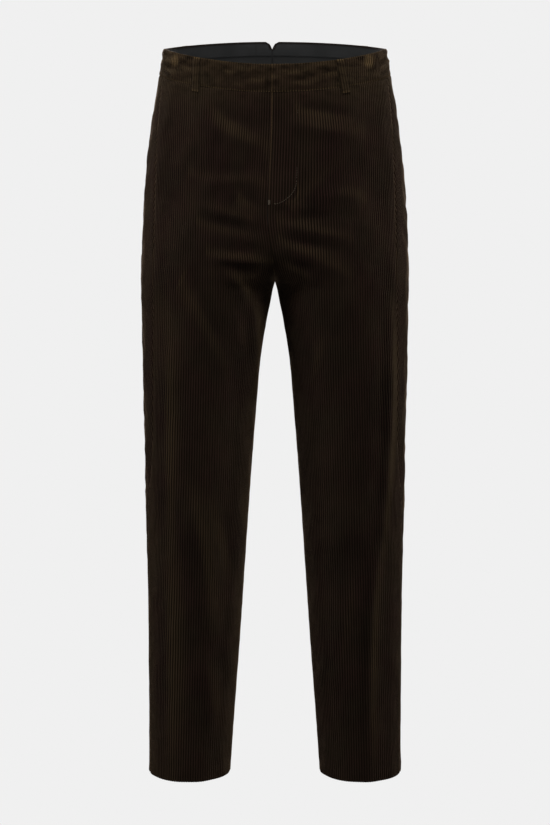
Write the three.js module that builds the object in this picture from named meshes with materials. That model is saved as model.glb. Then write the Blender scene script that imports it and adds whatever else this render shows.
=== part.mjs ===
// Corduroy trousers, filled out as if worn, empty inside and open at the waist and hems.
// Millimetres, +Z up, the front faces -Y, and +X is the wearer's left.
// The origin is the middle of the waist, halfway up the waistband at the side.
// Each piece is a thin closed wall over one shared body surface, parted from its neighbours at the seams.

import * as THREE from "three";
import { mergeVertices } from "three/addons/utils/BufferGeometryUtils.js";

// Driving sizes
const WAIST_TOP = 23.4;
const BAND_HEIGHT = 37;
const FRONT_DIP = 19.4;
const BACK_RISE = 9.2;
const WAIST_BEND = 2.2;
const CROTCH = -300;
const HEM = -1012;
const HEM_TURN = 40;
const SEAM_GAP = 0.3;

// Cloth walls
const LEG_WALL = 1.8;
const HEM_WALL = 3;
const BAND_WALL = 2.4;
const BAND_PROUD = 0.4;
const LINING_WALL = 1.1;
const LOOP_WALL = 1.6;

// Fly: the wearer's left front laps over the right front down to the bar tack. The lap
// lies flat on the part that runs under it, then eases back to the body's surface.
const FLY_BOTTOM = -182;
const FLY_UNDERLAP = 12;
const LAP_FLAT = 16;
const LAP_EASE = 24;
const FLY_FADE = 12;
const LAP_ROOM = 0.6;

// Notch at the top of the centre back seam
const NOTCH_HALF_WIDTH = 4;
const NOTCH_DEPTH = 10;
const NOTCH_ROUND = 2.6;
const NOTCH_ROUND_REACH = 6;

// Waistband lining: an upper strip, and a curtain that hangs from it clear of the legs
const LINING_TOP = 2.2;
const LINING_SEAM = 20;
const LINING_OUTSIDE = BAND_PROUD - BAND_WALL - SEAM_GAP;
const CURTAIN_ROWS = [
  { drop: LINING_SEAM, out: LINING_OUTSIDE }, { drop: 35, out: LINING_OUTSIDE - 0.4 },
  { drop: 41, out: -5 }, { drop: 62, out: -8 },
];

// Belt loops
const LOOP_WIDTH = 12.5;
const LOOP_CLEAR = 6.3;

// Grid steps
const HIP_ROWS = 23;
const LEG_ROWS = 17;
const PANEL_COLUMNS = 13;
const BAND_COLUMNS = 30;
const LINING_COLUMNS = 24;
const FOLD_STEPS = 8;
const FOLD_BELOW = 0.75;

const CLOTH = { color: 0x251a13, roughness: 0.95, metalness: 0 };
const LINING_CLOTH = { color: 0x2b2b2c, roughness: 0.9, metalness: 0 };

// Half width of the whole garment, height by height
const OUTER = [
  { z: 60, x: 150 }, { z: 19, x: 155 }, { z: -6, x: 159 }, { z: -33, x: 163.7 },
  { z: -75, x: 170.7 }, { z: -130, x: 178 }, { z: -186, x: 183 }, { z: -242, x: 186 },
  { z: -298, x: 188 }, { z: -355, x: 187.3 }, { z: -441, x: 186.5 }, { z: -527, x: 185 },
  { z: -643, x: 184 }, { z: -761, x: 182 }, { z: -940, x: 182 }, { z: -1012, x: 183 },
];

// Where the inner side of each leg lies. Above the crotch it passes the middle, so the
// two sides meet in the fork curves of the front and back seams.
const INNER_FRONT = [
  { z: -178, x: -182 }, { z: -200, x: -150 }, { z: -225, x: -108 }, { z: -250, x: -70 },
  { z: -280, x: -28 }, { z: -300, x: 0.2 }, { z: -327, x: 6.3 }, { z: -355, x: 12 },
  { z: -412, x: 21 }, { z: -470, x: 26 }, { z: -585, x: 35 }, { z: -702, x: 43 },
  { z: -820, x: 51 }, { z: -940, x: 60 }, { z: -1012, x: 65 },
];
const INNER_BACK = [
  { z: -150, x: -179.6 }, { z: -190, x: -130 }, { z: -220, x: -85 }, { z: -250, x: -44 },
  { z: -280, x: -14 }, { z: -300, x: 0.2 }, { z: -327, x: 6.3 }, { z: -355, x: 12 },
  { z: -412, x: 21 }, { z: -470, x: 26 }, { z: -585, x: 35 }, { z: -702, x: 43 },
  { z: -820, x: 51 }, { z: -940, x: 60 }, { z: -1012, x: 65 },
];

// Reach of the front and back from the line of the side, and where that line lies
const DEPTH = [
  { z: 60, front: 101, back: 99, middle: 0 }, { z: 0, front: 106, back: 104, middle: 0 },
  { z: -60, front: 114, back: 114, middle: 0 }, { z: -120, front: 121, back: 126, middle: 0 },
  { z: -180, front: 124, back: 134, middle: 0 }, { z: -230, front: 123, back: 136, middle: 0 },
  { z: -270, front: 118, back: 131, middle: 0 }, { z: -300, front: 113, back: 124, middle: 0 },
  { z: -340, front: 108, back: 114, middle: 0 }, { z: -420, front: 99, back: 103, middle: -1 },
  { z: -520, front: 90, back: 93, middle: -1 }, { z: -620, front: 82, back: 85, middle: -1 },
  { z: -760, front: 73, back: 80, middle: -2 }, { z: -900, front: 68, back: 77, middle: -2 },
  { z: -1012, front: 65, back: 75, middle: -2 },
];

// How full the corners of a section are
const FULLNESS = [
  { z: 60, k: 0.03 }, { z: -40, k: 0.035 }, { z: -230, k: 0.045 }, { z: -400, k: 0.02 },
  { z: -700, k: 0.01 }, { z: -1012, k: 0.01 },
];

// Side seam, and centre front and back seams, as they lie in the front view
const SIDE_SEAM = [
  { z: 60, x: 147 }, { z: 19, x: 151 }, { z: -72, x: 161 }, { z: -178, x: 165.5 },
  { z: -307, x: 168 }, { z: -391, x: 169.5 }, { z: -504, x: 171.5 }, { z: -568, x: 175.5 },
  { z: -620, x: 180 }, { z: -700, x: 181 }, { z: -1012, x: 181 },
];
const FRONT_SEAM = [
  { z: 60, x: -3 }, { z: 4, x: -4 }, { z: -70, x: -5 }, { z: -151, x: -8.5 },
  { z: -198, x: -10 }, { z: -245, x: -5 }, { z: -287, x: -0.6 }, { z: -300, x: 0 },
  { z: -1012, x: 0 },
];
const BACK_SEAM = [
  { z: 60, x: -4 }, { z: 0, x: -4 }, { z: -120, x: -2 }, { z: -250, x: 0 }, { z: -1012, x: 0 },
];
const SEAM_REACH = 90;

// Front folds: a curve through three places of the front view, with half width and height
const FRONT_FOLDS = [
  { from: [-99, -60], via: [-57, -86], to: [-8, -96], width: 11, height: 3 },
  { from: [-88, -41], via: [-54, -65], to: [-14, -72], width: 9, height: -2.2 },
  { from: [-118, -135], via: [-67, -132], to: [-14, -129], width: 11, height: -2.6 },
  { from: [-114, -151], via: [-61, -146], to: [-14, -143], width: 9, height: 2.4 },
  { from: [-50, -165], via: [-34, -172], to: [-12, -180], width: 8, height: -2 },
  { from: [-106, -180], via: [-70, -190], to: [-30, -198], width: 9, height: 2.6 },
  { from: [-106, -198], via: [-61, -205], to: [-8, -215], width: 9, height: -3 },
  { from: [-94, -240], via: [-54, -238], to: [-12, -238], width: 9, height: -2.6 },
  { from: [-98, -256], via: [-54, -253], to: [-4, -259], width: 8, height: 4.2 },
  { from: [-92, -268], via: [-48, -268], to: [-4, -276], width: 8, height: -3 },
  { from: [-76, -274], via: [-48, -290], to: [-38, -332], width: 9, height: 2.6 },
  { from: [-128, -272], via: [-102, -312], to: [-58, -431], width: 14, height: -3 },
  { from: [-116, -300], via: [-86, -365], to: [-56, -440], width: 12, height: 2 },
  { from: [-54, -326], via: [-46, -382], to: [-42, -440], width: 10, height: 2.6 },
  { from: [-134, -545], via: [-104, -676], to: [-96, -800], width: 15, height: 3.2 },
  { from: [-100, -810], via: [-94, -876], to: [-82, -945], width: 13, height: 2.2 },
  { from: [-86, -580], via: [-65, -648], to: [-56, -715], width: 13, height: -2.6 },
  { from: [26, -46], via: [67, -52], to: [118, -58], width: 8, height: -3.4 },
  { from: [4, -64], via: [61, -76], to: [124, -79], width: 11, height: 3.2 },
  { from: [134, -98], via: [81, -132], to: [22, -180], width: 14, height: -3.2 },
  { from: [46, -180], via: [86, -165], to: [124, -174], width: 10, height: 3 },
  { from: [2, -199], via: [54, -194], to: [112, -188], width: 8, height: -2.8 },
  { from: [12, -210], via: [54, -216], to: [106, -226], width: 8, height: 3 },
  { from: [4, -222], via: [41, -231], to: [106, -240], width: 8, height: -3.6 },
  { from: [4, -238], via: [52, -251], to: [106, -276], width: 9, height: 4.2 },
  { from: [8, -250], via: [34, -263], to: [60, -280], width: 8, height: -3 },
  { from: [60, -340], via: [52, -393], to: [38, -440], width: 10, height: 2.6 },
  { from: [106, -660], via: [93, -765], to: [76, -880], width: 15, height: 3.2 },
  { from: [46, -652], via: [97, -636], to: [146, -596], width: 15, height: 2.6 },
  { from: [150, -319], via: [156, -500], to: [140, -700], width: 16, height: 2.8 },
  { from: [143, -660], via: [134, -830], to: [136, -1005], width: 15, height: 3.2 },
  { from: [-140, -330], via: [-147, -500], to: [-148, -660], width: 16, height: 2.8 },
  { from: [-148, -620], via: [-150, -800], to: [-150, -1005], width: 15, height: 3.2 },
];

// Back folds, in the same front view places but on the far side. The photograph hides
// them, so they follow the front: drag lines under the seat, at the knee and on the calf.
const BACK_FOLDS = [
  { from: [-108, -52], via: [-60, -64], to: [-10, -58], width: 11, height: -2.6 },
  { from: [-120, -78], via: [-62, -88], to: [-8, -84], width: 12, height: 2.6 },
  { from: [16, -50], via: [66, -60], to: [112, -50], width: 11, height: -2.8 },
  { from: [10, -82], via: [58, -84], to: [116, -74], width: 12, height: 2.8 },
  { from: [-128, -248], via: [-70, -268], to: [-12, -246], width: 11, height: -3 },
  { from: [-120, -272], via: [-66, -292], to: [-22, -276], width: 10, height: 3.6 },
  { from: [-112, -296], via: [-66, -312], to: [-24, -304], width: 10, height: -3 },
  { from: [12, -250], via: [64, -272], to: [122, -254], width: 11, height: -2.8 },
  { from: [22, -280], via: [70, -296], to: [124, -276], width: 10, height: 3.6 },
  { from: [24, -306], via: [70, -318], to: [118, -300], width: 10, height: -3 },
  { from: [-138, -330], via: [-100, -400], to: [-62, -500], width: 15, height: 2.6 },
  { from: [136, -340], via: [102, -420], to: [64, -510], width: 15, height: 2.6 },
  { from: [-142, -560], via: [-96, -590], to: [-52, -578], width: 14, height: -3 },
  { from: [-144, -590], via: [-98, -622], to: [-54, -612], width: 14, height: 3 },
  { from: [52, -566], via: [100, -588], to: [146, -560], width: 14, height: -3 },
  { from: [54, -600], via: [102, -624], to: [148, -596], width: 14, height: 3 },
  { from: [-82, -690], via: [-84, -840], to: [-88, -1005], width: 15, height: 3.2 },
  { from: [82, -690], via: [86, -840], to: [90, -1005], width: 15, height: 3.2 },
];
const FOLD_FADE = 0.35;

// Belt loops: side of the body, place in the front view and whether at the back
const BELT_LOOPS = [
  { name: "belt_loop_front_right", side: -1, x: 104.5, slant: -3, back: false },
  { name: "belt_loop_front_left", side: 1, x: 87, slant: 4, back: false },
  { name: "belt_loop_side_right", side: -1, x: 126, slant: 0, back: true },
  { name: "belt_loop_side_left", side: 1, x: 126, slant: 0, back: true },
  { name: "belt_loop_back_right", side: -1, x: 46, slant: 0, back: true },
  { name: "belt_loop_back_left", side: 1, x: 46, slant: 0, back: true },
];

// Run of a loop: drop below the waistband's top, and clearance from the cloth
const LOOP_RUN = [
  { drop: 0.4, clear: 0.3 }, { drop: 3.4, clear: 0.3 }, { drop: 8, clear: LOOP_CLEAR },
  { drop: 15, clear: LOOP_CLEAR + 0.4 }, { drop: 24, clear: LOOP_CLEAR + 0.5 },
  { drop: 33, clear: LOOP_CLEAR }, { drop: 38.5, clear: 2.4 }, { drop: 41, clear: 0.3 },
  { drop: 45.6, clear: 0.3 },
];

const clamp01 = (t) => Math.min(1, Math.max(0, t));
const smooth = (t) => clamp01(t) ** 2 * (3 - 2 * clamp01(t));
const mix = (a, b, t) => a + (b - a) * t;

// A column of a table at height z, on a smooth curve that doesn't overshoot its rows
function lookUp(table, column, z) {
  const last = table.length - 1;
  if (z >= table[0].z) return table[0][column];
  if (z <= table[last].z) return table[last][column];
  let row = 0;
  while (z < table[row + 1].z) row += 1;
  const slope = (i) => (table[i + 1][column] - table[i][column]) / (table[i + 1].z - table[i].z);
  const tangent = (i) => {
    if (i === 0) return slope(0);
    if (i === last) return slope(last - 1);
    const before = slope(i - 1);
    const after = slope(i);
    return before * after <= 0 ? 0 : (2 * before * after) / (before + after);
  };
  const span = table[row + 1].z - table[row].z;
  const t = (z - table[row].z) / span;
  return (2 * t ** 3 - 3 * t ** 2 + 1) * table[row][column]
    + (t ** 3 - 2 * t ** 2 + t) * span * tangent(row)
    + (3 * t ** 2 - 2 * t ** 3) * table[row + 1][column]
    + (t ** 3 - t ** 2) * span * tangent(row + 1);
}

// One side's section at height z: turn 0 is the inner side, a quarter turn the front,
// half a turn the outer side and three quarters the back.
function lobe(z, back) {
  const outer = lookUp(OUTER, "x", z);
  const aboveSplit = z > (back ? INNER_BACK : INNER_FRONT)[0].z;
  const inner = aboveSplit ? -outer : lookUp(back ? INNER_BACK : INNER_FRONT, "x", z);
  return { centre: (outer + inner) / 2, half: (outer - inner) / 2 };
}

const isBack = (turn) => turn > Math.PI;

// The turn at which a section passes a given distance from the middle
function turnAt(z, x, back) {
  const { centre, half } = lobe(z, back);
  const k = lookUp(FULLNESS, "k", z);
  let turn = Math.acos(Math.min(1, Math.max(-1, (centre - x) / half)));
  for (let i = 0; i < 6; i += 1) {
    const fuller = 1 + k * Math.sin(2 * turn) ** 2;
    turn = Math.acos(Math.min(1, Math.max(-1, (centre - x) / half / fuller)));
  }
  return back ? 2 * Math.PI - turn : turn;
}

// The body surface of the +X side, without folds
function bodyPoint(turn, z) {
  const back = isBack(turn);
  const { centre, half } = lobe(z, back);
  const fuller = 1 + lookUp(FULLNESS, "k", z) * Math.sin(2 * turn) ** 2;
  const depth = lookUp(DEPTH, back ? "back" : "front", z);
  const x = centre - half * Math.cos(turn) * fuller;
  const y = lookUp(DEPTH, "middle", z) - depth * Math.sin(turn) * fuller;
  return new THREE.Vector3(x, y, z);
}

function bodyNormal(turn, z) {
  const step = 0.002;
  const rise = 0.5;
  const along = bodyPoint(turn + step, z).sub(bodyPoint(turn - step, z));
  const up = bodyPoint(turn, z + rise).sub(bodyPoint(turn, z - rise));
  return along.cross(up).normalize();
}

// Distance from a fold's curve and the share of the way along it
function nearestOnFold(fold, x, z) {
  const bend = [0, 1].map((i) => 2 * fold.via[i] - (fold.from[i] + fold.to[i]) / 2);
  const at = (t) => [0, 1].map((i) => (1 - t) ** 2 * fold.from[i]
    + 2 * t * (1 - t) * bend[i] + t ** 2 * fold.to[i]);
  let best = { distance: Infinity, share: 0 };
  for (let step = 0; step < FOLD_STEPS; step += 1) {
    const [ax, az] = at(step / FOLD_STEPS);
    const [bx, bz] = at((step + 1) / FOLD_STEPS);
    const length2 = (bx - ax) ** 2 + (bz - az) ** 2;
    const t = clamp01(((x - ax) * (bx - ax) + (z - az) * (bz - az)) / length2);
    const distance = Math.hypot(mix(ax, bx, t) - x, mix(az, bz, t) - z);
    if (distance < best.distance) best = { distance, share: (step + t) / FOLD_STEPS };
  }
  return best;
}

// How far the folds stand out at a place of the front view. The tables give the line where a
// fold catches the light, and its middle lies a share of its half width below that line.
function foldHeight(turn, x, z) {
  const folds = isBack(turn) ? BACK_FOLDS : FRONT_FOLDS;
  const reach = smooth(Math.abs(Math.sin(turn)) / FOLD_FADE);
  let height = 0;
  for (const fold of folds) {
    const { distance, share } = nearestOnFold(fold, x, z + FOLD_BELOW * fold.width);
    const taper = Math.sqrt(Math.max(0, Math.sin(Math.PI * share)));
    height += fold.height * taper * Math.exp(-((distance / fold.width) ** 2));
  }
  return height * reach;
}

// A point of the garment's surface on one side, moved out by a distance
function surfacePoint(side, turn, z, out, folded) {
  const base = bodyPoint(turn, z);
  const nearSeam = 1 - smooth(Math.abs(base.x) / SEAM_REACH);
  const shift = lookUp(isBack(turn) ? BACK_SEAM : FRONT_SEAM, "x", z) * nearSeam;
  const height = (folded ? foldHeight(turn, side * base.x + shift, z) : 0) + out;
  const point = base.addScaledVector(bodyNormal(turn, z), height);
  return new THREE.Vector3(side * point.x + shift, point.y, point.z);
}

// Top edge of the waistband: it dips at the front, and at the back it rises to a flat top
function bandTop(turn) {
  if (isBack(turn)) return WAIST_TOP + BACK_RISE * (1 - Math.abs(Math.cos(turn)) ** WAIST_BEND);
  return WAIST_TOP - FRONT_DIP * Math.abs(Math.sin(turn)) ** WAIST_BEND;
}

const seamTurn = (z) => turnAt(z, lookUp(SIDE_SEAM, "x", z), false);

// Turns a length along the surface into a small turn
function turnFor(length, turn, z) {
  const step = 0.01;
  return (length * 2 * step) / bodyPoint(turn + step, z).distanceTo(bodyPoint(turn - step, z));
}

// A closed wall from a grid of outer and inner points
function wall(rows, columns, place) {
  const corners = [];
  for (const inner of [false, true]) {
    for (let r = 0; r <= rows; r += 1) {
      for (let c = 0; c <= columns; c += 1) corners.push(place(r, c, inner));
    }
  }
  const id = (r, c, inner) => (inner ? (rows + 1) * (columns + 1) : 0) + r * (columns + 1) + c;
  const faces = [];
  const quad = (a, b, c, d) => faces.push(a, b, c, a, c, d);
  for (let r = 0; r < rows; r += 1) {
    for (let c = 0; c < columns; c += 1) {
      quad(id(r, c, false), id(r + 1, c, false), id(r + 1, c + 1, false), id(r, c + 1, false));
      quad(id(r, c, true), id(r, c + 1, true), id(r + 1, c + 1, true), id(r + 1, c, true));
    }
  }
  for (let r = 0; r < rows; r += 1) {
    quad(id(r, 0, false), id(r, 0, true), id(r + 1, 0, true), id(r + 1, 0, false));
    quad(id(r, columns, false), id(r + 1, columns, false), id(r + 1, columns, true), id(r, columns, true));
  }
  for (let c = 0; c < columns; c += 1) {
    quad(id(0, c, false), id(0, c + 1, false), id(0, c + 1, true), id(0, c, true));
    quad(id(rows, c, false), id(rows, c, true), id(rows, c + 1, true), id(rows, c + 1, false));
  }
  return solidGeometry(corners, faces);
}

// A geometry whose faces point out whichever way the grid ran
function solidGeometry(corners, faces) {
  let volume = 0;
  for (let i = 0; i < faces.length; i += 3) {
    const [a, b, c] = [corners[faces[i]], corners[faces[i + 1]], corners[faces[i + 2]]];
    volume += a.dot(new THREE.Vector3().crossVectors(b, c));
  }
  if (volume < 0) {
    for (let i = 0; i < faces.length; i += 3) [faces[i], faces[i + 1]] = [faces[i + 1], faces[i]];
  }
  const geometry = new THREE.BufferGeometry();
  geometry.setAttribute("position", new THREE.Float32BufferAttribute(corners.flatMap((p) => p.toArray()), 3));
  geometry.setIndex(faces);
  const merged = mergeVertices(geometry, 1e-4);
  merged.computeVertexNormals();
  return merged;
}

function piece(name, geometry, cloth) {
  const mesh = new THREE.Mesh(geometry, new THREE.MeshStandardMaterial({ ...cloth, name }));
  mesh.name = name;
  return mesh;
}

// Heights of a leg panel's rows, from the waist seam down to the crotch and the hem
function panelHeight(row, turn) {
  const top = bandTop(turn) - BAND_HEIGHT - SEAM_GAP;
  if (row > HIP_ROWS) return mix(CROTCH, HEM, (row - HIP_ROWS) / LEG_ROWS);
  const share = row / HIP_ROWS;
  return mix(top, CROTCH, share + 0.07 * Math.sin(Math.PI * share));
}

function legWall(z) {
  return mix(LEG_WALL, HEM_WALL, smooth((HEM + HEM_TURN + 6 - z) / 6));
}

// How far the lapped left front stands out, and how far the right front runs under it
const lapFade = (z) => smooth((z - FLY_BOTTOM + FLY_FADE) / FLY_FADE);
const underlap = (z) => FLY_UNDERLAP * smooth((z - FLY_BOTTOM - FLY_FADE) / FLY_FADE);

function lapHeight(side, turn, z, lift) {
  if (side < 0 || isBack(turn)) return 0;
  const across = bodyPoint(turn, z).x;
  return lift * lapFade(z) * (1 - smooth((across - LAP_FLAT) / LAP_EASE));
}

// First column of a front piece: the centre front seam, or the inseam below the crotch
function frontEdge(side, z) {
  const under = side < 0 ? -underlap(z) : 0;
  if (z > CROTCH + 0.5) return turnAt(z, SEAM_GAP / 2 + under, false);
  return turnFor(SEAM_GAP / 2, 0.02, z);
}

function backEdge(z) {
  if (z > CROTCH + 0.5) return turnAt(z, SEAM_GAP / 2, true);
  return 2 * Math.PI - turnFor(SEAM_GAP / 2, 0.02, z);
}

// Keeps the two sides apart where they meet in the middle
function apart(side, point, edge) {
  if (edge && side * point.x < SEAM_GAP / 2 && point.z < FLY_BOTTOM - FLY_FADE) {
    const seam = lookUp(FRONT_SEAM, "x", point.z);
    if (point.z <= CROTCH) point.x = side * SEAM_GAP / 2;
    else if (side * (point.x - seam) < SEAM_GAP / 2) point.x = seam + side * SEAM_GAP / 2;
  }
  return point;
}

function legPanel(side, back) {
  return wall(HIP_ROWS + LEG_ROWS, PANEL_COLUMNS, (row, column, inner) => {
    const share = column / PANEL_COLUMNS;
    let turn = back ? 1.5 * Math.PI : 0.5 * Math.PI;
    let z = panelHeight(row, turn);
    for (let i = 0; i < 4; i += 1) {
      const seam = seamTurn(z);
      const start = back ? backEdge(z) : frontEdge(side, z);
      const end = seam + (back ? 1 : -1) * turnFor(SEAM_GAP / 2, seam, z);
      turn = mix(start, end, share);
      z = panelHeight(row, turn);
    }
    const lift = lapHeight(side, turn, z, LEG_WALL + LAP_ROOM + SEAM_GAP);
    const point = surfacePoint(side, turn, z, lift - (inner ? legWall(z) : 0), true);
    return apart(side, point, column === 0);
  });
}

// How far the notch at the centre back cuts into each side at a drop below the top
function notchAt(drop) {
  return NOTCH_HALF_WIDTH * Math.max(0, 1 - drop / NOTCH_DEPTH) ** 0.85;
}

// A strip that follows the waist from the fly round to the centre back. Its rows say how
// far each lies below the top and how far the strip's outside stands from the body there.
function waistStrip(side, { rows, columns, thickness, lift, inset }) {
  return wall(rows.length - 1, columns, (row, column, inner) => {
    const share = column / columns;
    const { drop, out } = rows[row];
    let turn = mix(0.5, 1.5, share) * Math.PI;
    let z = bandTop(turn) - drop;
    for (let i = 0; i < 4; i += 1) {
      const under = side < 0 && lift > 0 ? -FLY_UNDERLAP : 0;
      const start = turnAt(z, SEAM_GAP / 2 + under, false);
      const notch = notchAt(drop - inset) + (drop < NOTCH_DEPTH + inset ? inset : 0);
      const end = turnAt(z, SEAM_GAP / 2 + notch, true);
      turn = mix(start, end, share);
      z = bandTop(turn) - drop;
    }
    const fromNotch = turn > 1.25 * Math.PI ? bodyPoint(turn, z).x - NOTCH_HALF_WIDTH : Infinity;
    const corner = row === 0 && drop < NOTCH_DEPTH;
    const cornerDrop = corner ? NOTCH_ROUND * (1 - smooth(fromNotch / NOTCH_ROUND_REACH)) : 0;
    const raised = lapHeight(side, turn, z, lift);
    const away = out + raised - (inner ? thickness : 0);
    return surfacePoint(side, turn, z - cornerDrop, away, false);
  });
}

function waistband(side) {
  const drops = [0, 4.5, NOTCH_DEPTH, 24, BAND_HEIGHT];
  return waistStrip(side, {
    rows: drops.map((drop) => ({ drop, out: BAND_PROUD })),
    columns: BAND_COLUMNS,
    thickness: BAND_WALL,
    lift: BAND_WALL + LAP_ROOM,
    inset: 0,
  });
}

function upperLining(side) {
  const drops = [LINING_TOP, NOTCH_DEPTH + LINING_TOP, LINING_SEAM - SEAM_GAP];
  return waistStrip(side, {
    rows: drops.map((drop) => ({ drop, out: LINING_OUTSIDE })),
    columns: LINING_COLUMNS,
    thickness: LINING_WALL,
    lift: 0,
    inset: LINING_TOP,
  });
}

function curtain(side) {
  return waistStrip(side, {
    rows: CURTAIN_ROWS,
    columns: LINING_COLUMNS,
    thickness: LINING_WALL,
    lift: 0,
    inset: 0,
  });
}

function beltLoop({ side, x, slant, back }) {
  return wall(LOOP_RUN.length - 1, 2, (row, column, inner) => {
    const { drop, clear } = LOOP_RUN[row];
    const level = WAIST_TOP + (back ? BACK_RISE : -FRONT_DIP) / 2;
    const middle = turnAt(level, x, back);
    const lean = (back ? -slant : slant) * (row / (LOOP_RUN.length - 1));
    const across = (LOOP_WIDTH / 2) * (column - 1) + lean;
    const turn = middle + turnFor(1, middle, level) * across;
    const z = bandTop(turn) - drop;
    return surfacePoint(side, turn, z, BAND_PROUD + clear + (inner ? 0 : LOOP_WALL), false);
  });
}

const group = new THREE.Group();
group.name = "corduroy_trousers";
for (const [word, side] of [["left", 1], ["right", -1]]) {
  group.add(piece(`front_leg_${word}`, legPanel(side, false), CLOTH));
  group.add(piece(`back_leg_${word}`, legPanel(side, true), CLOTH));
  group.add(piece(`waistband_${word}`, waistband(side), CLOTH));
  group.add(piece(`waistband_lining_${word}`, upperLining(side), LINING_CLOTH));
  group.add(piece(`lining_curtain_${word}`, curtain(side), LINING_CLOTH));
}
for (const loop of BELT_LOOPS) group.add(piece(loop.name, beltLoop(loop), CLOTH));

export default group;
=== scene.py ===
import logging
import math
from dataclasses import dataclass
from enum import Enum
from typing import NamedTuple, Sequence

import bmesh
import bpy
import numpy as np
from mathutils import Matrix, Vector


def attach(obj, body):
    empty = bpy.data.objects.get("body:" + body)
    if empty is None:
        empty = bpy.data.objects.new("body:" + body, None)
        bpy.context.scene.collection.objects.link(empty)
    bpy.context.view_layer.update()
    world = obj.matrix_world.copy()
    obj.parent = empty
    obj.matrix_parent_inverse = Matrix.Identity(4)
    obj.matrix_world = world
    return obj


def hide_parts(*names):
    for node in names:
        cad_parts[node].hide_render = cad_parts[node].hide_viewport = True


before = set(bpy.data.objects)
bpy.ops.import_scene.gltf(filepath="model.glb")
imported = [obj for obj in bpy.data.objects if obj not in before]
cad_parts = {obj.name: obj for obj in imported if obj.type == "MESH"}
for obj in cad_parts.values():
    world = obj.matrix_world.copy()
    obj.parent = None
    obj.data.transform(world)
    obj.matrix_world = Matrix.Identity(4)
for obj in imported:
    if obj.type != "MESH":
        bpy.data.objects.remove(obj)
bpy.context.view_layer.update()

log = logging.getLogger("trousers")

Spot = tuple[float, float]
Triple = tuple[float, float, float]
BLACK: Triple = (0.0, 0.0, 0.0)

# Lengths in this file are millimetres on the garment. They become metres when a mesh is stored.
MM = 0.001

# Times that a turn, or the ends of a row, are worked out again until they settle.
TURN_ROUNDS = 6
ROW_ROUNDS = 4


class Side(Enum):
    """A side of the wearer, with its sign along X."""

    LEFT = 1
    RIGHT = -1

    @property
    def word(self) -> str:
        """The side's name in lower case."""
        return self.name.lower()


class Half(Enum):
    """The front or the back of the garment."""

    FRONT = "front"
    BACK = "back"


class Fold(NamedTuple):
    """A soft ridge or trough through three places of the front view."""

    start: tuple[float, float]
    via: tuple[float, float]
    end: tuple[float, float]
    width: float
    height: float


def ramp(value: np.ndarray, start: float, width: float) -> np.ndarray:
    """Eases from 0 to 1 as a value goes on from the start.

    Args:
        value: The values.
        start: The value at which it is still 0.
        width: How far on it reaches 1, negative where that lies below the start.

    Returns:
        The shares, from 0 to 1.
    """
    t = np.clip((value - start) / width, 0.0, 1.0)
    return t * t * (3.0 - 2.0 * t)


def bell(distance: np.ndarray, width: float) -> np.ndarray:
    """A smooth bump that is 1 at no distance and fades over the width."""
    return np.exp(-((distance / width) ** 2))


def mix(a: float, b: float, t: np.ndarray) -> np.ndarray:
    """The value a share t of the way from a to b."""
    return a + (b - a) * t


@dataclass(frozen=True)
class Profile:
    """A size that changes with height, on a smooth curve that doesn't overshoot its rows."""

    z: tuple[float, ...]
    size: tuple[float, ...]

    def at(self, height: np.ndarray) -> np.ndarray:
        """Looks the size up.

        Args:
            height: Heights, in any shape of array.

        Returns:
            The sizes there.
        """
        z = np.array(self.z[::-1], float)
        size = np.array(self.size[::-1], float)
        slope = np.diff(size) / np.diff(z)
        product = slope[:-1] * slope[1:]
        total = np.where(product > 0, slope[:-1] + slope[1:], 1.0)
        inner = np.where(product > 0, 2.0 * product / total, 0.0)
        tangent = np.concatenate([slope[:1], inner, slope[-1:]])
        height = np.clip(height, z[0], z[-1])
        row = np.clip(np.searchsorted(z, height, side="right") - 1, 0, len(z) - 2)
        span = z[row + 1] - z[row]
        t = (height - z[row]) / span
        return ((2 * t**3 - 3 * t**2 + 1) * size[row] + (t**3 - 2 * t**2 + t) * span * tangent[row]
                + (3 * t**2 - 2 * t**3) * size[row + 1] + (t**3 - t**2) * span * tangent[row + 1])


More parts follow.
